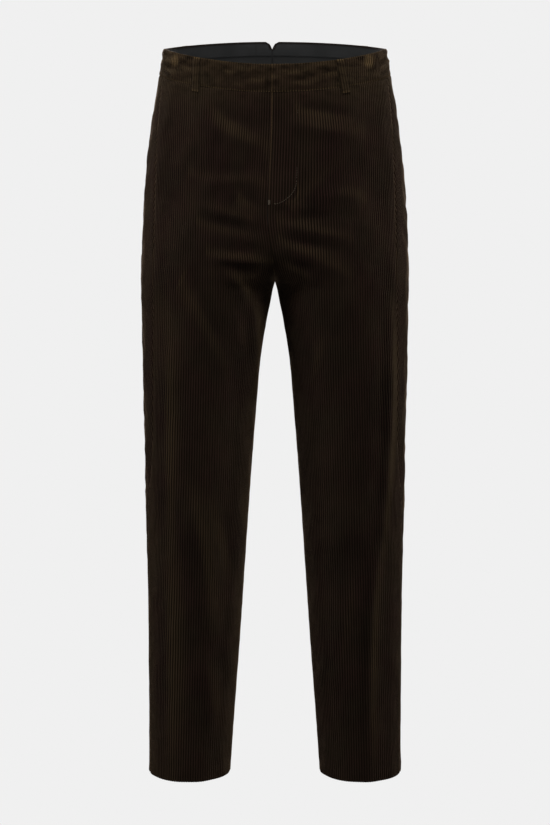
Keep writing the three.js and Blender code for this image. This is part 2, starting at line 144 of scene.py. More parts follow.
@dataclass(frozen=True)
class Body:
    """The surface that every piece lies on: a waist, hips and two legs, without folds."""

    waist_top: float = 23.4
    band_height: float = 37.0
    front_dip: float = 19.4
    back_rise: float = 9.2
    waist_bend: float = 2.2
    crotch: float = -300.0
    hem: float = -1012.0
    seam_reach: float = 90.0
    outer: Profile = Profile(
        (60, 19, -6, -33, -75, -130, -186, -242, -298, -355, -441, -527, -643, -761, -940, -1012),
        (150, 155, 159, 163.7, 170.7, 178, 183, 186, 188, 187.3, 186.5, 185, 184, 182, 182, 183))
    inner_front: Profile = Profile(
        (-178, -200, -225, -250, -280, -300, -327, -355, -412, -470, -585, -702, -820, -940, -1012),
        (-182, -150, -108, -70, -28, 0.2, 6.3, 12, 21, 26, 35, 43, 51, 60, 65))
    inner_back: Profile = Profile(
        (-150, -190, -220, -250, -280, -300, -327, -355, -412, -470, -585, -702, -820, -940, -1012),
        (-179.6, -130, -85, -44, -14, 0.2, 6.3, 12, 21, 26, 35, 43, 51, 60, 65))
    front_depth: Profile = Profile(
        (60, 0, -60, -120, -180, -230, -270, -300, -340, -420, -520, -620, -760, -900, -1012),
        (101, 106, 114, 121, 124, 123, 118, 113, 108, 99, 90, 82, 73, 68, 65))
    back_depth: Profile = Profile(
        (60, 0, -60, -120, -180, -230, -270, -300, -340, -420, -520, -620, -760, -900, -1012),
        (99, 104, 114, 126, 134, 136, 131, 124, 114, 103, 93, 85, 80, 77, 75))
    middle: Profile = Profile((60, -340, -420, -620, -760, -1012), (0, 0, -1, -1, -2, -2))
    fullness: Profile = Profile((60, -40, -230, -400, -700, -1012), (0.03, 0.035, 0.045, 0.02, 0.01, 0.01))
    side_seam: Profile = Profile(
        (60, 19, -72, -178, -307, -391, -504, -568, -620, -700, -1012),
        (147, 151, 161, 165.5, 168, 169.5, 171.5, 175.5, 180, 181, 181))
    front_seam: Profile = Profile(
        (60, 4, -70, -151, -198, -245, -287, -300, -1012), (-3, -4, -5, -8.5, -10, -5, -0.6, 0, 0))
    back_seam: Profile = Profile((60, 0, -120, -250, -1012), (-4, -4, -2, 0, 0))

    def lobe(self, z: np.ndarray, back: np.ndarray) -> tuple[np.ndarray, np.ndarray]:
        """Finds the middle and half width of one side's section.

        Args:
            z: Heights.
            back: True where the point is on the back.

        Returns:
            The sections' middles and half widths.
        """
        outer = self.outer.at(z)
        front_inner = np.where(z > self.inner_front.z[0], -outer, self.inner_front.at(z))
        back_inner = np.where(z > self.inner_back.z[0], -outer, self.inner_back.at(z))
        inner = np.where(back, back_inner, front_inner)
        return (outer + inner) / 2, (outer - inner) / 2

    def turn_at(self, z: np.ndarray, x: np.ndarray, half: Half) -> np.ndarray:
        """Finds the turn at which a section passes a distance from the middle.

        Args:
            z: Heights.
            x: Distances from the middle plane.
            half: Whether the front or the back is wanted.

        Returns:
            The turns, in radians from the section's inner side.
        """
        z = np.asarray(z, float)
        back = half is Half.BACK
        centre, reach = self.lobe(z, np.full(z.shape, back))
        k = self.fullness.at(z)
        turn = np.arccos(np.clip((centre - x) / reach, -1, 1))
        for _ in range(TURN_ROUNDS):
            turn = np.arccos(np.clip((centre - x) / reach / (1 + k * np.sin(2 * turn) ** 2), -1, 1))
        return 2 * math.pi - turn if back else turn

    def point(self, turn: np.ndarray, z: np.ndarray) -> np.ndarray:
        """Places points of the wearer's left side, without folds.

        Args:
            turn: Turns round the section.
            z: Heights, in the same shape.

        Returns:
            The points, with X, Y and Z along the last axis.
        """
        back = turn > math.pi
        centre, reach = self.lobe(z, back)
        fuller = 1 + self.fullness.at(z) * np.sin(2 * turn) ** 2
        depth = np.where(back, self.back_depth.at(z), self.front_depth.at(z))
        x = centre - reach * np.cos(turn) * fuller
        y = self.middle.at(z) - depth * np.sin(turn) * fuller
        return np.stack([x, y, z], -1)

    def normal(self, turn: np.ndarray, z: np.ndarray) -> np.ndarray:
        """The outward directions at points of the body.

        Args:
            turn: Turns round the section.
            z: Heights, in the same shape.

        Returns:
            Unit vectors along the last axis.
        """
        step, rise = 0.002, 0.5
        along = self.point(turn + step, z) - self.point(turn - step, z)
        up = self.point(turn, z + rise) - self.point(turn, z - rise)
        across = np.cross(along, up)
        return across / np.linalg.norm(across, axis=-1, keepdims=True)

    def band_top(self, turn: np.ndarray) -> np.ndarray:
        """Height of the waistband's top edge, which dips in front and rises to a flat back.

        Args:
            turn: Turns round the section.

        Returns:
            The heights.
        """
        back = self.waist_top + self.back_rise * (1 - np.abs(np.cos(turn)) ** self.waist_bend)
        front = self.waist_top - self.front_dip * np.abs(np.sin(turn)) ** self.waist_bend
        return np.where(turn > math.pi, back, front)

    def turn_for(self, length: float, turn: np.ndarray, z: np.ndarray) -> np.ndarray:
        """Turns a length along the surface into a small turn.

        Args:
            length: The length.
            turn: The turn beside which it lies.
            z: Height there.

        Returns:
            The small turn.
        """
        step = 0.01
        chord = np.linalg.norm(self.point(turn + step, z) - self.point(turn - step, z), axis=-1)
        return length * 2 * step / chord

    def shift(self, turn: np.ndarray, base: np.ndarray) -> np.ndarray:
        """How far the cloth near the centre seams is pulled sideways."""
        seam = np.where(turn > math.pi, self.back_seam.at(base[..., 2]), self.front_seam.at(base[..., 2]))
        return seam * (1 - ramp(np.abs(base[..., 0]), 0.0, self.seam_reach))


BODY = Body()


@dataclass(frozen=True)
class FoldField:
    """All the folds of the front and the back, as heights over the body."""

    fade: float = 0.35
    depth: float = 1.05
    steps: int = 8
    below: float = 0.75
    reach: float = 3.0
    taper: float = 0.85
    front: tuple[Fold, ...] = (
        Fold((-99, -60), (-57, -86), (-8, -96), 11, 3.0),
        Fold((-88, -41), (-54, -65), (-14, -72), 9, -2.2),
        Fold((-118, -135), (-67, -132), (-14, -129), 11, -2.6),
        Fold((-114, -151), (-61, -146), (-14, -143), 9, 2.4),
        Fold((-50, -165), (-34, -172), (-12, -180), 8, -2.0),
        Fold((-106, -180), (-70, -190), (-30, -198), 9, 2.6),
        Fold((-106, -198), (-61, -205), (-8, -215), 9, -3.0),
        Fold((-94, -240), (-54, -238), (-12, -238), 9, -2.6),
        Fold((-98, -256), (-54, -253), (-4, -259), 7, 3.4),
        Fold((-92, -268), (-48, -268), (-4, -276), 8, -1.5),
        Fold((-76, -274), (-48, -290), (-38, -332), 9, 2.6),
        Fold((-128, -272), (-102, -312), (-58, -431), 14, -3.0),
        Fold((-116, -300), (-86, -365), (-56, -440), 12, 2.0),
        Fold((-54, -326), (-46, -382), (-42, -440), 10, 2.6),
        Fold((-134, -545), (-104, -676), (-96, -800), 15, 3.2),
        Fold((-100, -810), (-94, -876), (-82, -945), 13, 2.2),
        Fold((-86, -580), (-65, -648), (-56, -715), 13, -2.6),
        Fold((26, -46), (67, -52), (118, -58), 8, -3.4),
        Fold((4, -64), (61, -76), (124, -79), 11, 3.2),
        Fold((134, -98), (81, -132), (22, -180), 14, -3.2),
        Fold((46, -180), (86, -165), (124, -174), 10, 3.0),
        Fold((2, -199), (54, -194), (112, -188), 8, -2.8),
        Fold((12, -210), (54, -216), (106, -226), 8, 2.6),
        Fold((4, -222), (41, -231), (106, -240), 8, -2.2),
        Fold((4, -238), (52, -251), (106, -276), 10, 2.5),
        Fold((8, -250), (34, -263), (60, -280), 8, -1.5),
        Fold((60, -340), (52, -393), (38, -440), 10, 2.6),
        Fold((106, -660), (93, -765), (76, -880), 15, 3.2),
        Fold((46, -652), (97, -636), (146, -596), 15, 2.6),
        Fold((155, -295), (158, -480), (145, -690), 8, 4.6),
        Fold((146, -650), (133, -800), (135, -1010), 9, 3.0),
        Fold((-34, -308), (-29, -370), (-34, -450), 9, 4.2),
        Fold((29, -152), (27, -172), (8, -180), 2.4, 1.0),
        Fold((22, -172), (10, -181), (-4, -183), 2.4, 0.9),
        Fold((-145, -330), (-150, -500), (-149, -660), 12, 2.8),
        Fold((-148, -620), (-150, -800), (-150, -1005), 15, 3.2),
    )
    back: tuple[Fold, ...] = (
        Fold((-108, -52), (-60, -64), (-10, -58), 11, -2.6),
        Fold((-120, -78), (-62, -88), (-8, -84), 12, 2.6),
        Fold((16, -50), (66, -60), (112, -50), 11, -2.8),
        Fold((10, -82), (58, -84), (116, -74), 12, 2.8),
        Fold((-128, -248), (-70, -268), (-12, -246), 11, -3.0),
        Fold((-120, -272), (-66, -292), (-22, -276), 10, 3.6),
        Fold((-112, -296), (-66, -312), (-24, -304), 10, -3.0),
        Fold((12, -250), (64, -272), (122, -254), 11, -2.8),
        Fold((22, -280), (70, -296), (124, -276), 10, 3.6),
        Fold((24, -306), (70, -318), (118, -300), 10, -3.0),
        Fold((-138, -330), (-100, -400), (-62, -500), 15, 2.6),
        Fold((136, -340), (102, -420), (64, -510), 15, 2.6),
        Fold((-142, -560), (-96, -590), (-52, -578), 14, -3.0),
        Fold((-144, -590), (-98, -622), (-54, -612), 14, 3.0),
        Fold((52, -566), (100, -588), (146, -560), 14, -3.0),
        Fold((54, -600), (102, -624), (148, -596), 14, 3.0),
        Fold((-82, -690), (-84, -840), (-88, -1005), 15, 3.2),
        Fold((82, -690), (86, -840), (90, -1005), 15, 3.2),
    )

    def one(self, fold: Fold, x: np.ndarray, z: np.ndarray) -> np.ndarray:
        """Height of one fold.

        Args:
            fold: The fold.
            x: Places across the front view.
            z: Heights.

        Returns:
            How far the fold stands out at each place.
        """
        lower = np.array([0.0, self.below * fold.width])
        start, via, end = (np.array(p, float) - lower for p in (fold.start, fold.via, fold.end))
        bend = 2 * via - (start + end) / 2
        t = np.linspace(0, 1, self.steps + 1)[:, None]
        curve = (1 - t) ** 2 * start + 2 * t * (1 - t) * bend + t**2 * end
        reach = self.reach * fold.width
        near = ((x > curve[:, 0].min() - reach) & (x < curve[:, 0].max() + reach)
                & (z > curve[:, 1].min() - reach) & (z < curve[:, 1].max() + reach))
        height = np.zeros_like(x)
        if not near.any():
            return height
        px, pz = x[near], z[near]
        best = np.full(px.shape, np.inf)
        share = np.zeros(px.shape)
        for step in range(self.steps):
            (ax, az), (bx, bz) = curve[step], curve[step + 1]
            length2 = (bx - ax) ** 2 + (bz - az) ** 2
            along = np.clip(((px - ax) * (bx - ax) + (pz - az) * (bz - az)) / length2, 0, 1)
            gap = np.hypot(ax + (bx - ax) * along - px, az + (bz - az) * along - pz)
            share = np.where(gap < best, (step + along) / self.steps, share)
            best = np.minimum(gap, best)
        taper = np.maximum(0, np.sin(math.pi * share)) ** self.taper
        height[near] = fold.height * taper * np.exp(-((best / fold.width) ** 2))
        return height

    def at(self, turn: np.ndarray, x: np.ndarray, z: np.ndarray) -> np.ndarray:
        """Height of all the folds at places of the garment.

        Args:
            turn: Turns round the section, which tell the front from the back.
            x: Places across the front view.
            z: Heights.

        Returns:
            How far the folds stand out.
        """
        front = sum(self.one(fold, x, z) for fold in self.front)
        back = sum(self.one(fold, x, z) for fold in self.back)
        return self.depth * np.where(turn > math.pi, back, front) * self.facing(turn)

    def facing(self, turn: np.ndarray) -> np.ndarray:
        """How far the cloth faces the front or the back, from 0 at the sides."""
        return ramp(np.abs(np.sin(turn)), 0.0, self.fade)


FOLDS = FoldField()


@dataclass(frozen=True)
class Fly:
    """The front opening: the wearer's left front laps over the right down to a bar tack."""

    bottom: float = -182.0
    underlap: float = 12.0
    fade: float = 12.0
    lap_flat: float = 16.0
    lap_ease: float = 24.0
    room: float = 0.6

    def under(self, z: np.ndarray) -> np.ndarray:
        """How far the right front runs under the left."""
        return self.underlap * ramp(z, self.bottom + self.fade, self.fade)

    def lap(self, side: Side, turn: np.ndarray, z: np.ndarray, lift: float) -> np.ndarray:
        """How far the left front stands out over the part that runs under it.

        Args:
            side: Side of the wearer.
            turn: Turns round the section.
            z: Heights.
            lift: The full height of the lap.

        Returns:
            The height at each place.
        """
        if side is Side.RIGHT:
            return np.zeros_like(turn)
        down = ramp(z, self.bottom - self.fade, self.fade)
        across = 1 - ramp(BODY.point(turn, z)[..., 0], self.lap_flat, self.lap_ease)
        return np.where(turn > math.pi, 0.0, lift * down * across)


FLY = Fly()


def surface(side: Side, turn: np.ndarray, z: np.ndarray, out: np.ndarray, folded: bool) -> np.ndarray:
    """Places points of the cloth.

    Args:
        side: Side of the wearer.
        turn: Turns round the section.
        z: Heights.
        out: Distances out from the body.
        folded: Whether the folds are added.

    Returns:
        The points, with X, Y and Z along the last axis.
    """
    base = BODY.point(turn, z)
    shift = BODY.shift(turn, base)
    height = np.asarray(out, float) + np.zeros_like(turn)
    if folded:
        height = height + FOLDS.at(turn, side.value * base[..., 0] + shift, z)
    point = base + BODY.normal(turn, z) * height[..., None]
    return np.stack([side.value * point[..., 0] + shift, point[..., 1], point[..., 2]], -1)


@dataclass(frozen=True)
class Wales:
    """The ribs of the corduroy."""

    pitch: float = 3.5
    height: float = 1.1
    columns: int = 4
    roundness: float = 0.8

    @property
    def step(self) -> float:
        """Width of one mesh column."""
        return self.pitch / self.columns

    def at(self, across: np.ndarray) -> np.ndarray:
        """Height of the ribs at places across the cloth, from 0 in the grooves."""
        return self.height * np.abs(np.sin(math.pi * across / self.pitch)) ** self.roundness


WALES = Wales()


class Wave(NamedTuple):
    """A slanting wave in the cloth: its lengths across and along, where it starts, and its size."""

    across: float
    along: float
    phase: float
    size: float


@dataclass(frozen=True)
class Waves:
    """Several slanting waves, laid over each other."""

    height: float
    parts: tuple[Wave, ...]

    def at(self, x: np.ndarray, z: np.ndarray) -> np.ndarray:
        """Height of the waves at places across and along the garment."""
        total = sum(part.size * np.sin(2 * math.pi * (x / part.across + z / part.along) + part.phase)
                    for part in self.parts)
        return self.height * total


# The small unevenness of worn cloth, between the folds.
RIPPLES = Waves(0.35, (
    Wave(47, 83, 0.3, 1.0), Wave(-31, 61, 1.9, 0.7), Wave(43, -37, 4.1, 0.45), Wave(88, 29, 2.6, 0.5),
    Wave(-64, 133, 5.0, 0.9), Wave(57, 19, 0.9, 0.28), Wave(-71, 23, 3.3, 0.3), Wave(120, 15, 1.2, 0.2)))

# The long, shallow creases that run along the waistband.
CREASES = Waves(1.0, (
    Wave(110, 17, 0.4, 0.6), Wave(-83, 13, 2.1, 0.5), Wave(61, 23, 4.4, 0.5), Wave(-37, 11, 5.3, 0.3)))


@dataclass(frozen=True)
class Layout:
    """Where the corners of a strip or panel lie, by row and column."""

    turn: np.ndarray
    z: np.ndarray
    across: np.ndarray
    edge: np.ndarray
    widths: np.ndarray

    @property
    def width(self) -> float:
        """Width of the cut piece at its widest."""
        return float(self.widths.max())

    def area(self, rises: np.ndarray) -> float:
        """Area of the cut piece, from the length along the cloth between its rows."""
        return float(np.sum((self.widths[:-1] + self.widths[1:]) / 2 * rises))


def lay_columns(rows: Sequence[tuple[np.ndarray, np.ndarray]], grain: Sequence[float], step: float) -> Layout:
    """Lays columns that run along the grain of the cut cloth.

    Args:
        rows: Turns and heights along each row, from one end to the other.
        grain: The turn at which each row crosses the grain line.
        step: Width of one column.

    Returns:
        The corners. Columns beyond the end of a row lie on its end.
    """
    laid = []
    for (turn, z), zero in zip(rows, grain):
        point = BODY.point(turn, z)
        along = np.concatenate([[0], np.cumsum(np.hypot(*np.diff(point[:, :2], axis=0).T))])
        order = np.argsort(turn)
        laid.append(along - float(np.interp(zero, turn[order], along[order])))
    low = min(along[0] for along in laid)
    high = max(along[-1] for along in laid)
    marks = np.arange(math.floor(low / step), math.ceil(high / step) + 1) * step
    places = [np.clip(marks, along[0], along[-1]) for along in laid]
    turns = [np.interp(place, along, turn) for place, along, (turn, _) in zip(places, laid, rows)]
    heights = [np.interp(place, along, z) for place, along, (_, z) in zip(places, laid, rows)]
    edges = [np.minimum(place - along[0], along[-1] - place) for place, along in zip(places, laid)]
    widths = np.array([along[-1] - along[0] for along in laid])
    return Layout(np.array(turns), np.array(heights), np.array(places), np.array(edges), widths)


def stand(name: str, data: bpy.types.ID) -> bpy.types.Object:
    """Makes an object and puts it in the scene.

    Args:
        name: The object's name.
        data: Its mesh, light or camera.

    Returns:
        The object, at the origin.
    """
    thing = bpy.data.objects.new(name, data)
    bpy.context.collection.objects.link(thing)
    return thing


@dataclass
class Slab:
    """A closed sheet of cloth, made as a flat slab and then moved onto the body."""

    name: str
    sharp: float = 62.0
    weld: float = 2e-6
    sliver: float = 1e-6

    def build(self, outer: np.ndarray, inner: np.ndarray, cut: np.ndarray, painted_light: np.ndarray,
              cloth: Sequence[bpy.types.Material]) -> bpy.types.Object:
        """Makes the slab and moves its corners.

        Args:
            outer: Points of the outside by row and column, in millimetres.
            inner: Points of the inside.
            cut: For each corner, its place across and along the cut cloth, and how pale the pile is from
                crushing, wear and painted highlights, or how dark a lining seam is.
            painted_light: The painted light and shade at each corner, from -1 for painted shade to 1 for a
                painted highlight.
            cloth: The materials of the outside and of the inside.

        Returns:
            The finished object, at the origin.
        """
        rows, columns = (count - 1 for count in outer.shape[:2])
        flat = bmesh.new()
        bmesh.ops.create_grid(flat, x_segments=columns, y_segments=rows, size=0.5)
        raised = bmesh.ops.extrude_face_region(flat, geom=flat.faces[:])
        lifted = [part for part in raised["geom"] if isinstance(part, bmesh.types.BMVert)]
        bmesh.ops.translate(flat, verts=lifted, vec=(0, 0, 1))
        for part in raised["geom"]:
            if isinstance(part, bmesh.types.BMFace):
                part.material_index = 1
        mesh = bpy.data.meshes.new(self.name)
        flat.to_mesh(mesh)
        flat.free()
        corners = np.empty(len(mesh.vertices) * 3)
        mesh.vertices.foreach_get("co", corners)
        corners = corners.reshape(-1, 3)
        column = np.rint((corners[:, 0] + 0.5) * columns).astype(int)
        row = np.rint((corners[:, 1] + 0.5) * rows).astype(int)
        inside = corners[:, 2] > 0.5
        points = np.where(inside[:, None], inner[row, column], outer[row, column])
        mesh.vertices.foreach_set("co", (points * MM).ravel())
        layers = (("cut", "FLOAT_VECTOR", "vector", cut), ("painted_light", "FLOAT", "value", painted_light))
        for name, kind, key, values in layers:
            layer = mesh.attributes.new(name, kind, "POINT").data
            layer.foreach_set(key, values[row, column].ravel())
        for material in cloth:
            mesh.materials.append(material)
        return self.finish(mesh)

    def finish(self, mesh: bpy.types.Mesh) -> bpy.types.Object:
        """Merges corners that met, turns the faces outwards and shades the cloth smooth.

        Args:
            mesh: The moved slab.

        Returns:
            The object that holds it.
        """
        cloth = bmesh.new()
        cloth.from_mesh(mesh)
        bmesh.ops.remove_doubles(cloth, verts=cloth.verts[:], dist=self.weld)
        bmesh.ops.dissolve_degenerate(cloth, dist=self.sliver, edges=cloth.edges[:])
        bmesh.ops.recalc_face_normals(cloth, faces=cloth.faces[:])
        for face in cloth.faces:
            face.smooth = True
        cloth.to_mesh(mesh)
        cloth.free()
        mesh.set_sharp_from_angle(angle=math.radians(self.sharp))
        return stand(self.name, mesh)


def declare(piece: bpy.types.Object, node: str, area: float,
            rests_on: Sequence[str] = ()) -> None:
    """Says what a cloth piece stands for, how it moves and how it was cut.

    Args:
        piece: The finished piece.
        node: The part's node that it replaces.
        area: Area of its cut. Not used.
        rests_on: The nodes that hold it. Not used.
    """
    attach(piece, "root")
    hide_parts(node)
    log.info("%s: %d faces", piece.name, len(piece.data.polygons))


@dataclass
class LegPanel:
    """One front or back leg panel, cut with its wales along the grain line and folded at the hem."""

    side: Side
    half: Half
    cloth: Sequence[bpy.types.Material]
    wall: float = 1.5
    hem_wall: float = 2.6
    hem_turn: float = 40.0
    hem_ease: float = 6.0
    hip_rows: int = 46
    front_hip_rows: int = 96
    leg_rows: int = 66
    row_crowding: float = 0.06
    samples: int = 240
    grain: Profile = Profile((60, -40, -300, -600, -1012), (96, 98, 102, 110, 121))
    # The seams: how they dip into the cloth and pucker it, and the pale line along the panel's edge, partly
    # wear and partly a painted highlight.
    seam_rows: tuple[float, ...] = (0.0, 0.9, 2.2, 4.5)
    seam_dip: float = 1.1
    seam_width: float = 2.0
    side_dip: float = 0.15
    pucker: float = 0.2
    pucker_reach: float = 9.0
    pucker_top: float = 4.0
    pucker_waves: Triple = (5.3, 1.7, 31.0)
    calm_edge: float = 25.0
    rib_middle: float = 0.3
    seat_tuck: float = 0.4
    edge_wear_and_highlight: float = 0.2
    pale_inset: float = 1.0
    pale_width: float = 0.9
    pale_from: float = 60.0
    pale_ease: float = 40.0
    # The fly's front edge, pale from wear and a painted highlight, and the fork below it, where the wales
    # flatten.
    fly_turn: float = 0.6
    fly_wear_and_highlight: float = 0.6
    fly_pale_below: float = 0.5
    fly_width: float = 1.1
    fly_ease: float = 6.0
    fly_near: float = 30.0
    fork_reach: float = 6.0
    fork_room: float = 25.0
    fork_ease: float = 20.0
    fork_level: float = 0.5
    # Painted light and shade: painted highlights and shade on the folds by which way they face, painted
    # highlights along the right leg's edges, and a darker left leg front.
    slope_light_up: float = 0.62
    slope_light_side: float = 2.3
    slope_light_least_run: float = 0.2
    lower_legs_top: float = 20.0
    lower_legs_ease: float = 60.0
    left_front_darkening: float = -0.26
    left_front_dark_edge: Spot = (145.0, 15.0)
    inner_edge_highlight: float = 0.6
    inner_edge_highlight_width: float = 10.0
    outer_edge_highlight: float = 0.3
    outer_highlight_edge: Spot = (136.0, 12.0)

    @property
    def node(self) -> str:
        """The panel's name in the frame."""
        return f"{self.half.value}_leg_{self.side.word}"

    def __post_init__(self) -> None:
        """Gives the fronts more rows, for their finer folds."""
        if self.half is Half.FRONT:
            self.hip_rows = self.front_hip_rows

    def row_heights(self, row: int, turn: np.ndarray) -> np.ndarray:
        """Heights along one row, from the waist seam down to the hem.

        Args:
            row: Number of the row.
            turn: Turns round the section.

        Returns:
            The heights at those turns.
        """
        top = BODY.band_top(turn) - BODY.band_height
        close = len(self.seam_rows)
        if row < close:
            return top - self.seam_rows[row]
        start = top - self.seam_rows[-1]
        row -= close - 1
        if row > self.hip_rows:
            return np.full_like(turn, mix(BODY.crotch, BODY.hem, (row - self.hip_rows) / self.leg_rows))
        share = row / self.hip_rows
        return mix(start, BODY.crotch, share + self.row_crowding * math.sin(math.pi * share))

    def ends(self, z_start: float, z_end: float) -> Spot:
        """Finds the turns at which a row starts and ends.

        Args:
            z_start: Its height at the centre seam or inseam.
            z_end: Its height at the side seam.

        Returns:
            The two turns.
        """
        start = 2 * math.pi if self.half is Half.BACK else 0.0
        if z_start > BODY.crotch + self.fork_level:
            level = np.array([z_start])
            under = FLY.under(level) if self.half is Half.FRONT and self.side is Side.RIGHT else 0.0
            tucked = self.seat_tuck if self.half is Half.BACK else 0.0
            start = BODY.turn_at(level, -under - tucked, self.half)[0]
        level = np.array([z_end])
        return float(start), float(BODY.turn_at(level, BODY.side_seam.at(level), Half.FRONT)[0])

    def layout(self) -> Layout:
        """Lays the columns of the cut cloth along every row.

        Returns:
            The panel's corners.
        """
        rows, grain = [], []
        for row in range(len(self.seam_rows) + self.hip_rows + self.leg_rows):
            start, end = 1.5 * math.pi if self.half is Half.BACK else 0.5 * math.pi, math.pi
            for _ in range(ROW_ROUNDS):
                z_start = float(self.row_heights(row, np.array([start]))[0])
                z_end = float(self.row_heights(row, np.array([end]))[0])
                start, end = self.ends(z_start, z_end)
            turn = np.linspace(start, end, self.samples)
            z = self.row_heights(row, turn)
            rows.append((turn, z))
            level = np.array([float(np.mean(z))])
            grain.append(float(BODY.turn_at(level, self.grain.at(level), self.half)[0]))
        return lay_columns(rows, grain, WALES.step)

    def build(self) -> bpy.types.Object:
        """Makes the panel and declares its cloth.

        Returns:
            The panel's object.
        """
        laid = self.layout()
        turn, z = laid.turn, laid.z
        x = BODY.point(turn, z)[..., 0]
        drop = BODY.band_top(turn) - BODY.band_height - z
        seam = bell(np.minimum(laid.edge, drop), self.seam_width)
        dip = self.seam_dip * seam * mix(self.side_dip, 1.0, FOLDS.facing(turn))
        ribs = WALES.at(laid.across) - WALES.height + self.rib_middle
        relief = ribs - dip + self.puckers(laid.edge, drop, z)
        lift = FLY.lap(self.side, turn, z, self.wall + FLY.room)
        lift = lift + RIPPLES.at(self.side.value * laid.across, z) * ramp(laid.edge, 0.0, self.calm_edge)
        fork = (bell(x, self.fork_reach) * ramp(z, BODY.crotch - self.fork_room, self.fork_ease)
                * ramp(z, FLY.bottom - self.fork_room, -self.fork_ease))
        outer = surface(self.side, turn, z, lift * (1 - fork) + mix(relief, self.rib_middle, fork), True)
        hem = ramp(z, BODY.hem + self.hem_turn + self.hem_ease, -self.hem_ease)
        inner = surface(self.side, turn, z, lift - mix(self.wall, self.hem_wall, hem), True)
        if self.half is Half.FRONT:
            self.keep_apart(outer, inner, BODY.front_seam.at(z[:, :1]))
        # A pale line along the side seams and the fly's edge: partly wear, partly a painted highlight.
        wear_and_highlight = self.edge_wear_and_highlight * bell(laid.edge - self.pale_inset, self.pale_width)
        wear_and_highlight = wear_and_highlight * ramp(x, self.pale_from, self.pale_ease)
        fly = self.fly_wear_and_highlight * bell(laid.edge, self.fly_width) * self.on_fly(turn, z)
        cut = np.stack([laid.across, z, np.maximum(wear_and_highlight, fly)], -1)
        piece = Slab(f"{self.node}_cloth").build(outer, inner, cut, self.painted_light(turn, z), self.cloth)
        rises = -np.diff(z.mean(axis=1))
        declare(piece, self.node, laid.area(rises),
                [f"waistband_{self.side.word}"])
        return piece

    def puckers(self, edge: np.ndarray, drop: np.ndarray, z: np.ndarray) -> np.ndarray:
        """Height of the small puckers beside a seam.

        Args:
            edge: Distances from the panel's edge.
            drop: Distances below the waistband.
            z: Heights.

        Returns:
            The height at each place.
        """
        short, swing, long = self.pucker_waves
        wave = np.sin(z / short + swing * np.sin(z / long)) * np.exp(-edge / self.pucker_reach)
        return self.pucker * np.minimum(1.0, drop / self.pucker_top) * wave

    def painted_light(self, turn: np.ndarray, z: np.ndarray) -> np.ndarray:
        """Painted light on the folds: painted highlights on slopes that face up or to the wearer's left,
        painted shade on slopes that face away.

        Args:
            turn: Turns round the section, by row and column.
            z: Heights.

        Returns:
            The painted light at each corner, from -1 for painted shade to 1 for a painted highlight.
        """
        base = BODY.point(turn, z)
        x = self.side.value * base[..., 0] + BODY.shift(turn, base)
        fold = FOLDS.at(turn, x, z)
        rise = np.gradient(z, axis=0)
        run = np.gradient(x, axis=1)
        run = np.where(np.abs(run) < self.slope_light_least_run, np.inf, run)
        # Painted highlights where a fold's slope faces up or to the wearer's left, painted shade where it
        # faces away.
        lean = -self.slope_light_up * np.gradient(fold, axis=0) / rise
        lean = lean - self.slope_light_side * np.gradient(fold, axis=1) / run
        return np.clip(lean + self.legs_painted_light(x, z), -1, 1)

    def legs_painted_light(self, x: np.ndarray, z: np.ndarray) -> np.ndarray:
        """Painted highlights along the right leg's inner and outer edges, and a darker front down the left
        leg.

        Args:
            x: Places across the front view.
            z: Heights.

        Returns:
            The painted light that this adds, nothing on the back.
        """
        if self.half is Half.BACK:
            return np.zeros_like(z)
        legs = ramp(z, BODY.crotch + self.lower_legs_top, -self.lower_legs_ease)
        if self.side is Side.LEFT:
            edge, ease = self.left_front_dark_edge
            return self.left_front_darkening * legs * ramp(x, edge, -ease)
        edge, ease = self.outer_highlight_edge
        inner = bell(x + BODY.inner_front.at(z), self.inner_edge_highlight_width)
        return legs * (self.inner_edge_highlight * inner + self.outer_edge_highlight * ramp(x, -edge, -ease))

    def on_fly(self, turn: np.ndarray, z: np.ndarray) -> np.ndarray:
        """How pale the fly's front edge is, from wear and a painted highlight.

        Args:
            turn: Turns round the section.
            z: Heights.

        Returns:
            The share at each corner, 0 on all other panels.
        """
        if self.half is Half.BACK or self.side is Side.RIGHT:
            return np.zeros_like(z)
        share = mix(self.fly_pale_below, 1.0, ramp(z, FLY.bottom, self.fly_ease))
        return np.where(turn > self.fly_turn, share, 0.0)

    def keep_apart(self, outer: np.ndarray, inner: np.ndarray, seam: np.ndarray) -> None:
        """Keeps the two fronts from crossing below the fly.

        Args:
            outer: Points of the outside, changed in place.
            inner: Points of the inside, changed in place.
            seam: Place of the centre seam on each row.
        """
        sign = self.side.value
        for layer in (outer, inner):
            low = layer[:, :, 2] < FLY.bottom - FLY.fade
            crossed = low & (sign * (layer[:, :, 0] - seam) < 0) & (np.abs(layer[:, :, 0]) < self.fly_near)
            layer[:, :, 0] = np.where(crossed, seam, layer[:, :, 0])


class Strip(Enum):
    """The strips that run round the waist."""

    BAND = "waistband"
    LINING = "waistband_lining"
    CURTAIN = "lining_curtain"


@dataclass(frozen=True)
class Notch:
    """The small V cut into the top of the centre back seam."""

    half_width: float = 4.0
    depth: float = 10.0
    bend: float = 0.85
    round: float = 2.6
    reach: float = 6.0
    fade: float = 4.0

    def at(self, drop: float) -> float:
        """How far the notch cuts into each side, at a drop below the top."""
        return self.half_width * max(0.0, 1 - drop / self.depth) ** self.bend

    def corner(self, x: np.ndarray, drop: np.ndarray) -> np.ndarray:
        """How far the corners beside the notch are rounded down, at distances aside and below the top."""
        return self.round * (1 - ramp(x - self.half_width, 0.0, self.reach)) * bell(drop, self.fade)


NOTCH = Notch()


class Crush(NamedTuple):
    """A patch of crushed pile on the band: its middle and half sizes."""

    x: float
    half_x: float
    z: float
    half_z: float


class Crumple(NamedTuple):
    """A short crease across the band, beside the fly."""

    x: float
    z: float
    lean: float
    width: float
    height: float


